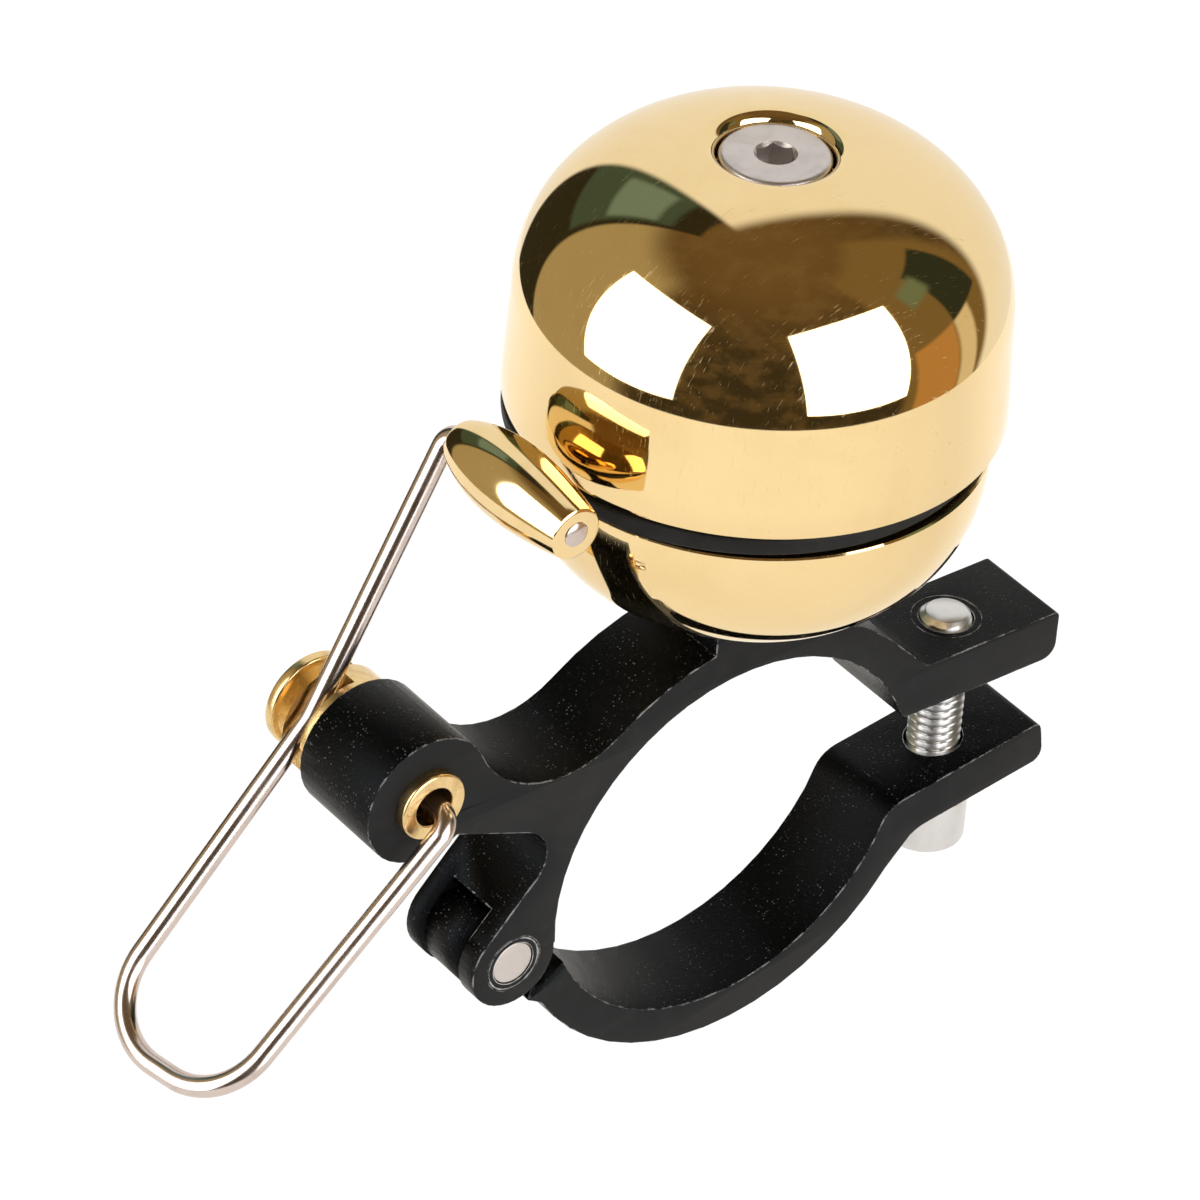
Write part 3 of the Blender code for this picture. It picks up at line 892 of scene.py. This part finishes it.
class Palette:
    """Every finish of the bell, made once."""

    GOLD = (0.93, 0.72, 0.38)

    def __init__(self, pivot: Vector) -> None:
        """Builds the materials.

        Args:
            pivot: a point of the striker's axis in metres, about which its turned pieces were cut.
        """
        effects = Effects()
        self.brass = Metal(
            "lacquered_brass", self.GOLD, (0.80, 0.57, 0.25), 0.035, ripple_scale=95.0,
            ripple_depth=0.000014, scratch_amount=0.1, coat=0.15).make(effects)
        self.hammer_brass = Metal(
            "polished_hammer_brass", self.GOLD, (0.78, 0.55, 0.25), 0.08, cloud_scale=300.0,
            ripple_scale=220.0, ripple_depth=0.000012, scratch_amount=0.06).make(effects)
        self.turned_brass = TurnedMetal(
            "turned_brass", (0.88, 0.66, 0.33), (0.58, 0.38, 0.15), 0.2, axis=pivot).make(effects)
        self.black = BlackCasting().make(effects)
        self.nickel = Metal(
            "nickel_plated_wire", (0.69, 0.60, 0.56), (0.50, 0.41, 0.375), 0.19, cloud_scale=260.0,
            cloud_amount=0.6, scratch_scale=1400.0, scratch_amount=0.05, ripple_scale=300.0,
            ripple_depth=0.00001).make(effects)
        self.satin_steel = Metal(
            "satin_steel", (0.66, 0.62, 0.60), (0.48, 0.44, 0.42), 0.33, cloud_scale=500.0,
            scratch_amount=0.08, grain=4800.0, grain_depth=0.000012).make(effects)
        self.bright_steel = Metal(
            "bright_steel", (0.86, 0.85, 0.84), (0.62, 0.60, 0.58), 0.16, cloud_scale=700.0,
            scratch_amount=0.05, grain=3600.0, grain_depth=0.000004).make(effects)
        self.zinc = Metal(
            "zinc_plated_steel", (0.74, 0.74, 0.74), (0.6, 0.6, 0.6), 0.3, cloud_scale=700.0,
            grain=3600.0, grain_depth=0.000006).make(effects)
        self.rubber = Rubber().make(effects)


# ---------------------------------------------------------------- sub-assemblies

@dataclass
class SubAssembly:
    """A group of pieces that belong together; the palette dresses them."""

    palette: Palette

    def place(self, piece: bpy.types.Object, node: str, body: str, finish: bpy.types.Material,
              slot: str) -> None:
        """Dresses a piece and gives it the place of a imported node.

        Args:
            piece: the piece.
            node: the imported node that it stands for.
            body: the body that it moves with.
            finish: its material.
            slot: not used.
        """
        piece.data.materials.clear()
        piece.data.materials.append(finish)
        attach(piece, body)
        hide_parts(node)
        LOG.info("%s stands for %s on %s", piece.name, node, body)


@dataclass
class Bell(SubAssembly):
    """Dome, cup and everything on the dome screw."""

    rim_radius: float = 17.62
    shoulder_radius: float = 17.3
    shoulder_height: float = 44.5
    dome_rise: float = 12.85
    dome_power: float = 2.2
    dome_wall: float = 1.25
    rim_height: float = 36.9
    rim_edge: float = 0.35
    recess_radius: float = 4.05
    recess_round: float = 1.0
    recess_lean: float = 9.5
    recess_floor: float = 54.2
    recess_corner: float = 0.25
    inner_corner: float = 0.4
    cup_radius: float = 16.74
    cup_rim: float = 34.76
    cup_bottom: float = 21.3
    cup_wall: float = 1.2
    cup_power: float = 2.4
    cup_foot: float = 3.6
    cup_edge: float = 0.12
    stack_hole: float = 2.25
    disc_radius: float = 16.9
    disc_edge: float = 0.3
    slit_below: float = 0.3
    slit_above: float = 0.5
    head_radius: float = 3.92
    head_low: float = 55.0
    head_top: float = 56.5
    neck_radius: float = 1.9
    neck_low: float = 40.0
    key_width: float = 2.5
    key_depth: float = 2.1
    thread_radius: float = 1.95
    thread_pitch: float = 0.7
    thread_end: float = 16.8
    axis: Vector = field(init=False)

    def __post_init__(self) -> None:
        """Takes the bell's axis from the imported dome."""
        middle = node_centre("bell_dome")
        self.axis = Vector((middle.x, middle.y, 0.0))

    def build(self) -> None:
        """Makes and dresses every piece of the bell."""
        self.place(self.dome(), "bell_dome", "clamp", self.palette.brass, "brass")
        self.place(self.cup(), "base_cup", "clamp", self.palette.brass, "brass")
        self.place(self.disc(), "gap_disc", "clamp", self.palette.rubber, "rubber")
        self.place(self.screw(), "dome_screw", "clamp", self.palette.satin_steel, "steel")
        self.stack()

    def dome(self) -> bpy.types.Object:
        """The bell itself, with the recess for the screw's head.

        Returns:
            The dome.
        """
        lean = math.radians(self.recess_lean)
        lip = self.recess_radius + self.recess_round * (1 + math.sin(lean))
        outer = oval(self.shoulder_radius, self.dome_rise, self.shoulder_height, self.dome_power,
                     (lip, self.shoulder_radius), 72)
        inner_r = self.shoulder_radius - self.dome_wall
        wall_r = self.recess_radius + self.dome_wall
        inner = oval(inner_r, self.dome_rise - self.dome_wall, self.shoulder_height, self.dome_power,
                     (inner_r, wall_r + self.inner_corner), 30)
        recess = [(self.stack_hole, self.recess_floor),
                  (self.recess_radius - self.recess_corner, self.recess_floor),
                  (self.recess_radius, self.recess_floor + self.recess_corner)]
        round_base = outer[0][1] - self.recess_round * math.cos(lean)
        for degrees in range(0, 98, 7):
            turn = math.radians(degrees)
            recess.append((self.recess_radius + self.recess_round * (1 - math.cos(turn)),
                           round_base + self.recess_round * math.sin(turn)))
        flare = self.rim_radius - self.shoulder_radius
        drop = self.shoulder_height - self.rim_height - self.rim_edge
        band = [(self.shoulder_radius + flare * share, self.shoulder_height - drop * share)
                for share in (0.25, 0.5, 0.75, 1.0)]
        rim = [(self.rim_radius - inwards, self.rim_height + up)
               for inwards, up in ((0.05, 0.15), (0.16, 0.05), (0.32, 0.0), (self.dome_wall, 0.0))]
        underside = self.recess_floor - self.dome_wall
        floor = [(wall_r, underside + self.inner_corner), (wall_r - self.inner_corner, underside),
                 (self.stack_hole, underside)]
        return turned("brass_dome", recess + outer + band + rim + inner + floor, self.axis, steps=192)

    def cup(self) -> bpy.types.Object:
        """The shallow bowl under the dome.

        Returns:
            The cup.
        """
        rise = self.cup_rim - self.cup_bottom
        outer = self.cup_side(self.cup_radius, rise, 60, self.cup_edge)
        inner = self.cup_side(self.cup_radius - self.cup_wall, rise - self.cup_wall, 30, 0.0)
        lip = [(self.cup_radius - self.cup_edge, self.cup_rim)]
        floor = [(self.stack_hole, self.cup_bottom), (self.stack_hole, self.cup_bottom + self.cup_wall)]
        return turned("brass_cup", lip + outer + floor + inner[::-1], self.axis, steps=192)

    def cup_side(self, radius: float, depth: float, count: int, rim: float) -> list[Point]:
        """One face of the bowl, from its rim down to its foot.

        Args:
            radius: the face's radius at the rim.
            depth: its depth.
            count: number of steps.
            rim: how far under the cup's rim it starts.

        Returns:
            (radius, height) points.
        """
        points = oval(radius, depth, 0.0, self.cup_power, (radius, self.cup_foot), count)
        return [(r, self.cup_rim - max(h, rim)) for r, h in points]

    def disc(self) -> bpy.types.Object:
        """The loose black disc in the slit between dome and cup.

        Returns:
            The disc.
        """
        centre = node_centre("gap_disc")
        low = self.cup_rim + self.slit_below
        high = self.rim_height - self.slit_above
        profile = rounded([(0, high, 0), (self.disc_radius, high, self.disc_edge),
                           (self.disc_radius, low, self.disc_edge), (0, low, 0)])
        disc = turned("black_gap_disc", profile, Vector((centre.x, centre.y, 0.0)), steps=128)
        bore = [(0, low - 1), (self.stack_hole, low - 1), (self.stack_hole, high + 1), (0, high + 1)]
        carve(disc, turned("disc_bore", bore, self.axis, steps=32))
        return disc

    def screw(self) -> bpy.types.Object:
        """The flat disc-headed screw in the crown's recess.

        Returns:
            The screw.
        """
        top = self.head_top
        profile = rounded([(0, top, 0), (self.head_radius, top, 0.42), (self.head_radius, self.head_low, 0.2),
                           (self.neck_radius, self.head_low, 0), (self.neck_radius, self.neck_low, 0),
                           (0, self.neck_low, 0)])
        head = turned("dome_screw_head", profile, self.axis)
        carve(head, prism("dome_screw_key", self.key_width, top - self.key_depth, top + 1, self.axis))
        cone = [(0, top - 0.25), (1.25, top - 0.25), (1.6, top + 0.1), (0, top + 0.1)]
        carve(head, turned("dome_screw_countersink", cone, self.axis))
        shank = threaded("dome_screw_shank", self.axis, self.thread_radius, self.thread_pitch,
                         self.thread_end, self.neck_low + 1.0)
        return joined("crown_screw", [head, shank])

    def stack(self) -> None:
        """Dresses the hidden washers and spacers."""
        hidden = (
            ("seat_washer", self.palette.rubber, "rubber"),
            ("cup_washer", self.palette.bright_steel, "steel"),
            ("lower_spacer", self.palette.nickel, "nickel"),
            ("upper_spacer", self.palette.nickel, "nickel"),
            ("dome_washer", self.palette.rubber, "rubber"),
            ("crown_washer", self.palette.rubber, "rubber"),
        )
        for node, finish, slot in hidden:
            self.place(welded_copy(node), node, "clamp", finish, slot)


@dataclass
class Clamp(SubAssembly):
    """The two castings that close round the bar, their hinge pin and their screw."""

    pin_radius: float = 1.7
    pin_length: float = 7.8
    pin_edge: float = 0.12
    pin_sunk: float = 0.06
    pin_gap: float = 0.03
    peened: float = 0.6
    thread_radius: float = 2.0
    thread_pitch: float = 0.7
    thread_end: float = 10.15
    head_radius: float = 3.05
    head_top: float = -5.95
    head_low: float = -10.1
    key_width: float = 3.0
    key_depth: float = 2.1
    lip_inner: float = 2.06
    lip_outer: float = 2.6
    lip_top: float = 9.57
    lip_depth: float = 0.8
    screw_axis: Vector = field(init=False)

    def __post_init__(self) -> None:
        """Takes the clamp screw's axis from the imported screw."""
        middle = node_centre("clamp_screw")
        self.screw_axis = Vector((middle.x, middle.y, 0.0))

    def build(self) -> None:
        """Makes and dresses every piece of the clamp."""
        parts = [welded_copy("clamp_frame"), self.tapped_lip(), *self.pin_lips()]
        casting = joined("clamp_frame_skin", parts)
        self.place(casting, "clamp_frame", "clamp", self.palette.black, "clamp_black")
        self.place(welded_copy("clamp_strap"), "clamp_strap", "strap", self.palette.black, "clamp_black")
        self.place(self.pin(), "hinge_pin", "clamp", self.palette.satin_steel, "steel")
        self.place(self.screw(), "clamp_screw", "screw", self.palette.zinc, "steel")

    def tapped_lip(self) -> bpy.types.Object:
        """The first turn of the tapped hole, close round the screw's end.

        Returns:
            The lip, which is part of the frame's casting.
        """
        low = self.lip_top - self.lip_depth
        profile = [(self.lip_inner, self.lip_top), (self.lip_outer, self.lip_top), (self.lip_outer, low),
                   (self.lip_inner, low)]
        return turned("tapped_lip", profile, self.screw_axis, steps=64)

    def pin_lips(self) -> list[bpy.types.Object]:
        """The metal peened over the hinge pin's two ends.

        Returns:
            The lips, which are part of the frame's casting.
        """
        lips = []
        inner = self.pin_radius + self.pin_gap
        outer = self.pin_radius + self.peened
        outside = self.pin_length / 2 + self.pin_sunk
        inside = outside - self.peened
        for side in (-1, 1):
            profile = [(inner, side * outside), (outer, side * outside), (outer, side * inside),
                       (inner, side * inside)]
            lips.append(turned("pin_lip", profile, node_centre("hinge_pin"), Along.BAR, 64))
        return lips

    def pin(self) -> bpy.types.Object:
        """The hinge pin, filed flat at both ends.

        Returns:
            The pin.
        """
        half = self.pin_length / 2
        profile = rounded([(0, half, 0), (self.pin_radius, half, self.pin_edge),
                           (self.pin_radius, -half, self.pin_edge), (0, -half, 0)])
        return turned("hinge_pin_steel", profile, node_centre("hinge_pin"), Along.BAR, 64)

    def screw(self) -> bpy.types.Object:
        """The socket-head screw that pulls the tabs together.

        Returns:
            The screw.
        """
        low = self.head_low
        profile = rounded([(0, self.head_top, 0), (self.head_radius, self.head_top, 0.2),
                           (self.head_radius, low, 0.35), (0, low, 0)])
        head = turned("clamp_screw_head", profile, self.screw_axis)
        carve(head, prism("clamp_screw_key", self.key_width, low - 1, low + self.key_depth, self.screw_axis))
        shank = threaded("clamp_screw_shank", self.screw_axis, self.thread_radius, self.thread_pitch,
                         self.head_top - 0.1, self.thread_end)
        return joined("socket_screw", [head, shank])


@dataclass
class Striker(SubAssembly):
    """The wire with its thumb loop, the hammer, the spool, the bush and the spring."""

    wire_radius: float = 0.8
    front_leg: float = -6.4
    rear_leg: float = 6.2
    loop_front: Point = (-46.3, -1.2)
    loop_rear: Point = (-48.4, -1.5)
    saddle: Point = (-30.7, 17.85)
    loop_bend: float = 5.4
    hammer_back: float = 4.9
    hammer_front: float = -8.0
    hammer_radius: float = 2.85
    hammer_ends: Point = (1.5, 1.95)
    saddle_depth: float = 1.95
    saddle_turn: float = 149.4
    saddle_cut: Point = (8.0, 14.0)
    spring_turns: float = 3.5
    spring_radius: float = 2.42
    spring_start: float = -0.2
    spring_pitch: float = 0.95
    spring_wire: float = 0.3
    pivot: Vector = field(init=False)
    hammer_axis: Vector = field(init=False)

    def __post_init__(self) -> None:
        """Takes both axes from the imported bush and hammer."""
        middle = node_centre("pivot_bush")
        self.pivot = Vector((middle.x, 0.0, middle.z))
        middle = node_centre("striker_hammer")
        self.hammer_axis = Vector((middle.x, 0.0, middle.z))

    def build(self) -> None:
        """Makes and dresses every piece of the striker."""
        self.place(self.wire(), "striker_wire", "striker", self.palette.nickel, "nickel")
        self.place(self.hammer(), "striker_hammer", "striker", self.palette.hammer_brass, "brass")
        self.place(self.spool(), "pivot_spool", "striker", self.palette.turned_brass, "brass")
        self.place(self.bush(), "pivot_bush", "clamp", self.palette.turned_brass, "brass")
        self.place(self.spring(), "torsion_spring", "clamp", self.palette.bright_steel, "steel")

    def wire(self) -> bpy.types.Object:
        """The bent wire, from the front bush round the thumb loop to the hammer.

        Returns:
            The wire.
        """
        x, z = self.pivot.x / MM + 0.45, self.pivot.z / MM - 0.35
        top_x, top_z = self.hammer_axis.x / MM, self.hammer_axis.z / MM
        route = [
            (x, -2.0, z, 0.0),
            (x, self.front_leg, z, 1.5),
            (self.loop_front[0], self.front_leg, self.loop_front[1], self.loop_bend),
            (self.loop_rear[0], self.rear_leg, self.loop_rear[1], self.loop_bend),
            (self.saddle[0], self.rear_leg, self.saddle[1], 3.0),
            (top_x, self.rear_leg, top_z, 1.2),
            (top_x, self.hammer_front - 0.02, top_z, 0.0),
        ]
        return swept("nickel_striker_wire", bent(route), self.wire_radius, peen=1.16)

    def hammer(self) -> bpy.types.Object:
        """The barrel-shaped sleeve that rings the dome.

        Returns:
            The hammer.
        """
        back_r, front_r = self.hammer_ends
        count = 48
        length = self.hammer_back - self.hammer_front
        outer = []
        for i in range(count + 1):
            share = i / count
            end_r = back_r + (front_r - back_r) * share
            bulge = math.sin(math.pi * share ** 0.9) ** 0.85 if 0 < share < 1 else 0.0
            outer.append((end_r + (self.hammer_radius - end_r) * bulge, self.hammer_back - length * share))
        bore = self.wire_radius + 0.06
        front = [(front_r - 0.1, self.hammer_front - 0.06), (front_r - 0.3, self.hammer_front - 0.08),
                 (bore, self.hammer_front - 0.08)]
        profile = [(bore, self.hammer_back), *outer, *front]
        return turned("brass_hammer", profile, self.hammer_axis, Along.BAR, 96, 40.0)

    def spool(self) -> bpy.types.Object:
        """The spool behind the barrel, with the flat that the wire's rear leg lies on.

        Returns:
            The spool.
        """
        profile = rounded([
            (0, 10.1, 0), (3.75, 10.1, 0.22), (3.75, 9.2, 0.2), (3.2, 9.2, 0.08), (2.3, 8.75, 0.3),
            (2.3, 7.35, 0.2), (4.25, 7.35, 0.2), (4.25, 4.3, 0.12), (1.7, 4.3, 0), (1.7, -0.6, 0),
            (0, -0.6, 0)], 4)
        spool = turned("brass_spool", profile, self.pivot, Along.BAR, 96)
        depth, width = self.saddle_cut
        reach = math.radians(self.saddle_turn)
        offset = (self.saddle_depth + depth / 2) * MM
        centre = self.pivot + Vector((math.cos(reach) * offset, self.rear_leg * MM, math.sin(reach) * offset))
        shape = bmesh.new()
        bmesh.ops.create_cube(shape, size=1)
        size = Vector((depth, 2 * self.wire_radius + 0.5, width)) * MM
        bmesh.ops.scale(shape, verts=shape.verts, vec=size)
        turn = Matrix.Rotation(-reach, 4, "Y")
        bmesh.ops.transform(shape, verts=shape.verts, matrix=Matrix.Translation(centre) @ turn)
        carve(spool, smooth_piece("wire_saddle", shape))
        return spool

    def bush(self) -> bpy.types.Object:
        """The brass ring in the barrel's front face.

        Returns:
            The bush.
        """
        profile = rounded([(1.5, -1.5, 0), (2.25, -1.5, 0), (2.25, -4.02, 0), (2.62, -4.02, 0),
                           (2.62, -4.9, 0.2), (1.5, -4.9, 0.14)], 4)
        return turned("brass_bush", profile, self.pivot, Along.BAR, 80)

    def spring(self) -> bpy.types.Object:
        """The torsion spring inside the barrel.

        Returns:
            The spring.
        """
        per_turn = 40
        radius = self.spring_radius
        path = []
        for i in range(round(self.spring_turns * per_turn) + 1):
            angle = 2 * math.pi * i / per_turn
            along = self.spring_start + self.spring_pitch * i / per_turn
            arm = Vector((radius * math.cos(angle), along, radius * math.sin(angle)))
            path.append(self.pivot + arm * MM)
        return swept("coiled_spring", path, self.spring_wire, 12, 0.02)


# ---------------------------------------------------------------- floor, light and camera

@dataclass(frozen=True)
class Softbox:
    """A large soft lamp that faces the bell; its turn counts from the camera's side."""

    name: str
    turn: float
    height: float
    width: float
    tall: float
    distance: float
    watts: float


@dataclass(frozen=True)
class Panel:
    """A patch of the room round the bell, in degrees from the camera's side and above the horizon."""

    turn: Point
    height: Point
    colour: Colour
    softness: float = 3.0


@dataclass(frozen=True)
class Studio:
    """A white table in a dim room, lit by two softboxes beside the camera."""

    azimuth: float = -39.556
    elevation: float = 36.141
    roll: float = 4.288
    lens: float = 208.08
    distance: float = 500.0
    aim: tuple[float, float, float] = (-0.72, 12.28, 12.33)
    floor_height: float = -62.0
    table_radius: float = 240.0
    floor_size: float = 6000.0
    outskirts: Point = (0.26, 0.42)
    backdrop_top: Point = (-150.0, -18.0)
    backdrop_side: Point = (120.0, 0.0)

    def build(self) -> None:
        """Makes the floor, the lamps, the room and the camera."""
        self.floor()
        self.lamps()
        self.room()
        self.camera()

    def towards(self, turn: float, height: float) -> Vector:
        """The way to a place in the room.

        Args:
            turn: degrees from the camera's side.
            height: degrees above the horizon.

        Returns:
            The unit vector.
        """
        a = math.radians(self.azimuth + turn)
        e = math.radians(height)
        return Vector((math.sin(a) * math.cos(e), -math.cos(a) * math.cos(e), math.sin(e)))

    def camera(self) -> None:
        """Puts the camera where the whole bell fills the view."""
        data = bpy.data.cameras.new("camera")
        data.lens = self.lens
        data.sensor_width = 36.0
        data.clip_start = 0.01
        camera = bpy.data.objects.new("camera", data)
        bpy.context.scene.collection.objects.link(camera)
        back = self.towards(0.0, self.elevation)
        camera.location = (Vector(self.aim) + back * self.distance) * MM
        camera.rotation_mode = "QUATERNION"
        level = (-back).to_track_quat("-Z", "Y")
        camera.rotation_quaternion = level @ Quaternion((0, 0, 1), math.radians(self.roll))
        bpy.context.scene.camera = camera

    def floor(self) -> None:
        """Lays the pale floor; mirrored in the brass, it ends at the table's edge. It glows as painted light,
        more on its far side than on its near side.
        """
        shape = bmesh.new()
        bmesh.ops.create_grid(shape, x_segments=4, y_segments=4, size=self.floor_size / 2 * MM)
        bmesh.ops.translate(shape, verts=shape.verts, vec=(0, 0, self.floor_height * MM))
        floor = smooth_piece("pale_floor", shape)
        if floor.data.polygons[0].normal.z < 0:
            floor.data.flip_normals()
        made, wiring, shader = blank_material("pale_floor_paper")
        shader["Roughness"].default_value = 0.85
        shader["Specular IOR Level"].default_value = 0.1
        shader["Base Color"].default_value = (0.86, 0.855, 0.85, 1.0)
        shader["Emission Strength"].default_value = 1.0
        surface = wiring.add("ShaderNodeNewGeometry").outputs
        place = surface["Position"]
        flat = wiring.vector_math("MULTIPLY", place, (1.0, 1.0, 0.0)).outputs[0]
        reach = wiring.vector_math("LENGTH", flat).outputs["Value"]
        beyond = wiring.math("GREATER_THAN", reach, self.table_radius * MM)
        # Painted light: the floor's glow rises from 0.235 near the camera to 0.46 on the far side, standing
        # in for lamp light that is weaker there.
        away = wiring.along(place, -self.towards(0.0, 0.0))
        painted_far_glow = wiring.ramp(away, 0.0, 0.6 * self.table_radius * MM)
        wiring.fill(shader["Emission Color"], wiring.mix(painted_far_glow, (0.235, 0.229, 0.223), (0.46, 0.45, 0.44)))
        ray = wiring.add("ShaderNodeLightPath").outputs
        clear = wiring.add("ShaderNodeBsdfTransparent").outputs[0]
        share = wiring.math("MAXIMUM", wiring.math("MULTIPLY", beyond, ray["Is Glossy Ray"]),
                            wiring.math("MULTIPLY", surface["Backfacing"], ray["Is Camera Ray"]))
        outskirts = wiring.ramp(reach, *self.outskirts)
        strength = wiring.math("MULTIPLY_ADD", outskirts, -0.36, 1.06)
        glow = wiring.add("ShaderNodeEmission", {"Color": (1.0, 1.0, 1.0), "Strength": strength}).outputs[0]
        washed = wiring.math("MULTIPLY", ray["Is Camera Ray"], 0.8)
        nodes = made.node_tree.nodes
        lit = nodes["Principled BSDF"].outputs[0]
        paper = wiring.add("ShaderNodeMixShader", {0: washed, 1: lit, 2: glow}).outputs[0]
        ending = wiring.add("ShaderNodeMixShader", {0: share, 1: paper, 2: clear}).outputs[0]
        wiring.fill(nodes["Material Output"].inputs["Surface"], ending)
        floor.data.materials.append(made)

    def lamps(self) -> None:
        """Hangs the two softboxes beside the camera."""
        boxes = (
            Softbox("left_softbox", -58.0, 15.0, 0.92, 1.22, 1.0, 11.5),
            Softbox("right_softbox", 44.0, 15.0, 0.92, 1.22, 1.0, 11.5),
        )
        for box in boxes:
            data = bpy.data.lights.new(box.name, "AREA")
            data.shape = "RECTANGLE"
            data.size = box.width
            data.size_y = box.tall
            data.energy = box.watts
            lamp = bpy.data.objects.new(box.name, data)
            bpy.context.scene.collection.objects.link(lamp)
            way = self.towards(box.turn, box.height)
            lamp.location = Vector((0.0, 0.0, 0.045)) + way * box.distance
            lamp.rotation_mode = "QUATERNION"
            lamp.rotation_quaternion = (-way).to_track_quat("-Z", "Y")
            lamp.visible_camera = False

    def room(self) -> None:
        """Paints the room that the brass mirrors; straight views of it are plain pale grey."""
        world = bpy.data.worlds.new("studio_room")
        world.use_nodes = True
        world.node_tree.nodes.clear()
        wiring = Wiring(world.node_tree)
        way = wiring.add("ShaderNodeTexCoord").outputs["Generated"]
        a = math.radians(self.azimuth)
        right = wiring.along(way, (math.cos(a), math.sin(a), 0.0))
        near = wiring.along(way, (math.sin(a), -math.cos(a), 0.0))
        up = wiring.add("ShaderNodeSeparateXYZ", {0: way}).outputs["Z"]
        height = wiring.math("ARCSINE", up)
        turn = wiring.math("ARCTAN2", right, near)
        ceiling = wiring.ramp(height, math.radians(18), math.radians(80))
        colour = wiring.mix(ceiling, (0.045, 0.034, 0.018), (0.15, 0.09, 0.035))
        blotch = wiring.ramp(wiring.noise(way, 5.0, 4.0, 0.6), 0.42, 0.66)
        colour = wiring.mix(wiring.math("MULTIPLY", blotch, 0.4), colour, (0.2, 0.13, 0.06))
        for panel in self.panels():
            colour = wiring.mix(self.panel_mask(wiring, panel, turn, height), colour, panel.colour)
        under_top = wiring.ramp(wiring.along(way, self.towards(*self.backdrop_top)), -0.05, 0.06)
        beside = wiring.ramp(wiring.along(way, self.towards(*self.backdrop_side)), -0.02, 0.02)
        backdrop = wiring.math("MULTIPLY", under_top, beside)
        colour = wiring.mix(backdrop, colour, (0.93, 0.90, 0.86))
        seen = wiring.add("ShaderNodeLightPath").outputs["Is Camera Ray"]
        lit = wiring.add("ShaderNodeBackground", {"Color": colour, "Strength": 1.0}).outputs[0]
        grey = {"Color": (0.75, 0.75, 0.76), "Strength": 1.0}
        plain = wiring.add("ShaderNodeBackground", grey).outputs[0]
        chosen = wiring.add("ShaderNodeMixShader", {0: seen, 1: lit, 2: plain}).outputs[0]
        wiring.add("ShaderNodeOutputWorld", {"Surface": chosen})
        bpy.context.scene.world = world
        bpy.context.scene.view_settings.view_transform = "Standard"

    def panels(self) -> tuple[Panel, ...]:
        """The walls and screens of the room, later ones in front of earlier ones.

        Returns:
            The panels.
        """
        return (
            Panel((-128.0, -64.0), (-40.0, 55.0), (0.40, 0.32, 0.18), 16.0),
            Panel((66.0, 124.0), (-40.0, 66.0), (0.2, 0.13, 0.05), 8.0),
            Panel((72.0, 96.0), (-40.0, 8.0), (0.48, 0.25, 0.08), 3.0),
            Panel((97.0, 108.0), (-40.0, 8.0), (0.7, 0.6, 0.42), 3.0),
            Panel((97.0, 118.0), (8.0, 44.0), (0.03, 0.035, 0.022), 2.0),
            Panel((84.0, 100.0), (30.0, 42.0), (0.16, 0.2, 0.13), 5.0),
            Panel((-153.0, -121.0), (-40.0, 68.0), (0.03, 0.026, 0.014), 2.0),
            Panel((-150.0, -124.0), (14.0, 58.0), (0.06, 0.09, 0.065), 3.0),
            Panel((-146.0, -126.0), (32.0, 52.0), (0.17, 0.25, 0.23), 3.0),
        )

    def panel_mask(self, wiring: Wiring, panel: Panel, turn: bpy.types.NodeSocket,
                   height: bpy.types.NodeSocket) -> bpy.types.NodeSocket:
        """Where a panel covers the room behind it.

        Args:
            wiring: the world's wiring.
            panel: the panel.
            turn: socket with the turn in radians.
            height: socket with the height in radians.

        Returns:
            Socket with 1 inside the panel.
        """
        soft = math.radians(panel.softness) / 2
        masks = []
        for value, (low, high) in ((turn, panel.turn), (height, panel.height)):
            first, last = math.radians(low), math.radians(high)
            masks.append(wiring.ramp(value, first - soft, first + soft))
            masks.append(wiring.math("SUBTRACT", 1.0, wiring.ramp(value, last - soft, last + soft)))
        mask = masks[0]
        for other in masks[1:]:
            mask = wiring.math("MULTIPLY", mask, other)
        return mask


# ---------------------------------------------------------------- assembly


def main() -> None:
    """Builds the bell, its clamp and its striker, then the studio."""
    logging.basicConfig(level=logging.INFO, format="%(message)s")
    palette = Palette(node_centre("pivot_bush"))
    for assembly in (Bell(palette), Clamp(palette), Striker(palette)):
        assembly.build()
    Studio().build()


if __name__ == "__main__":
    main()
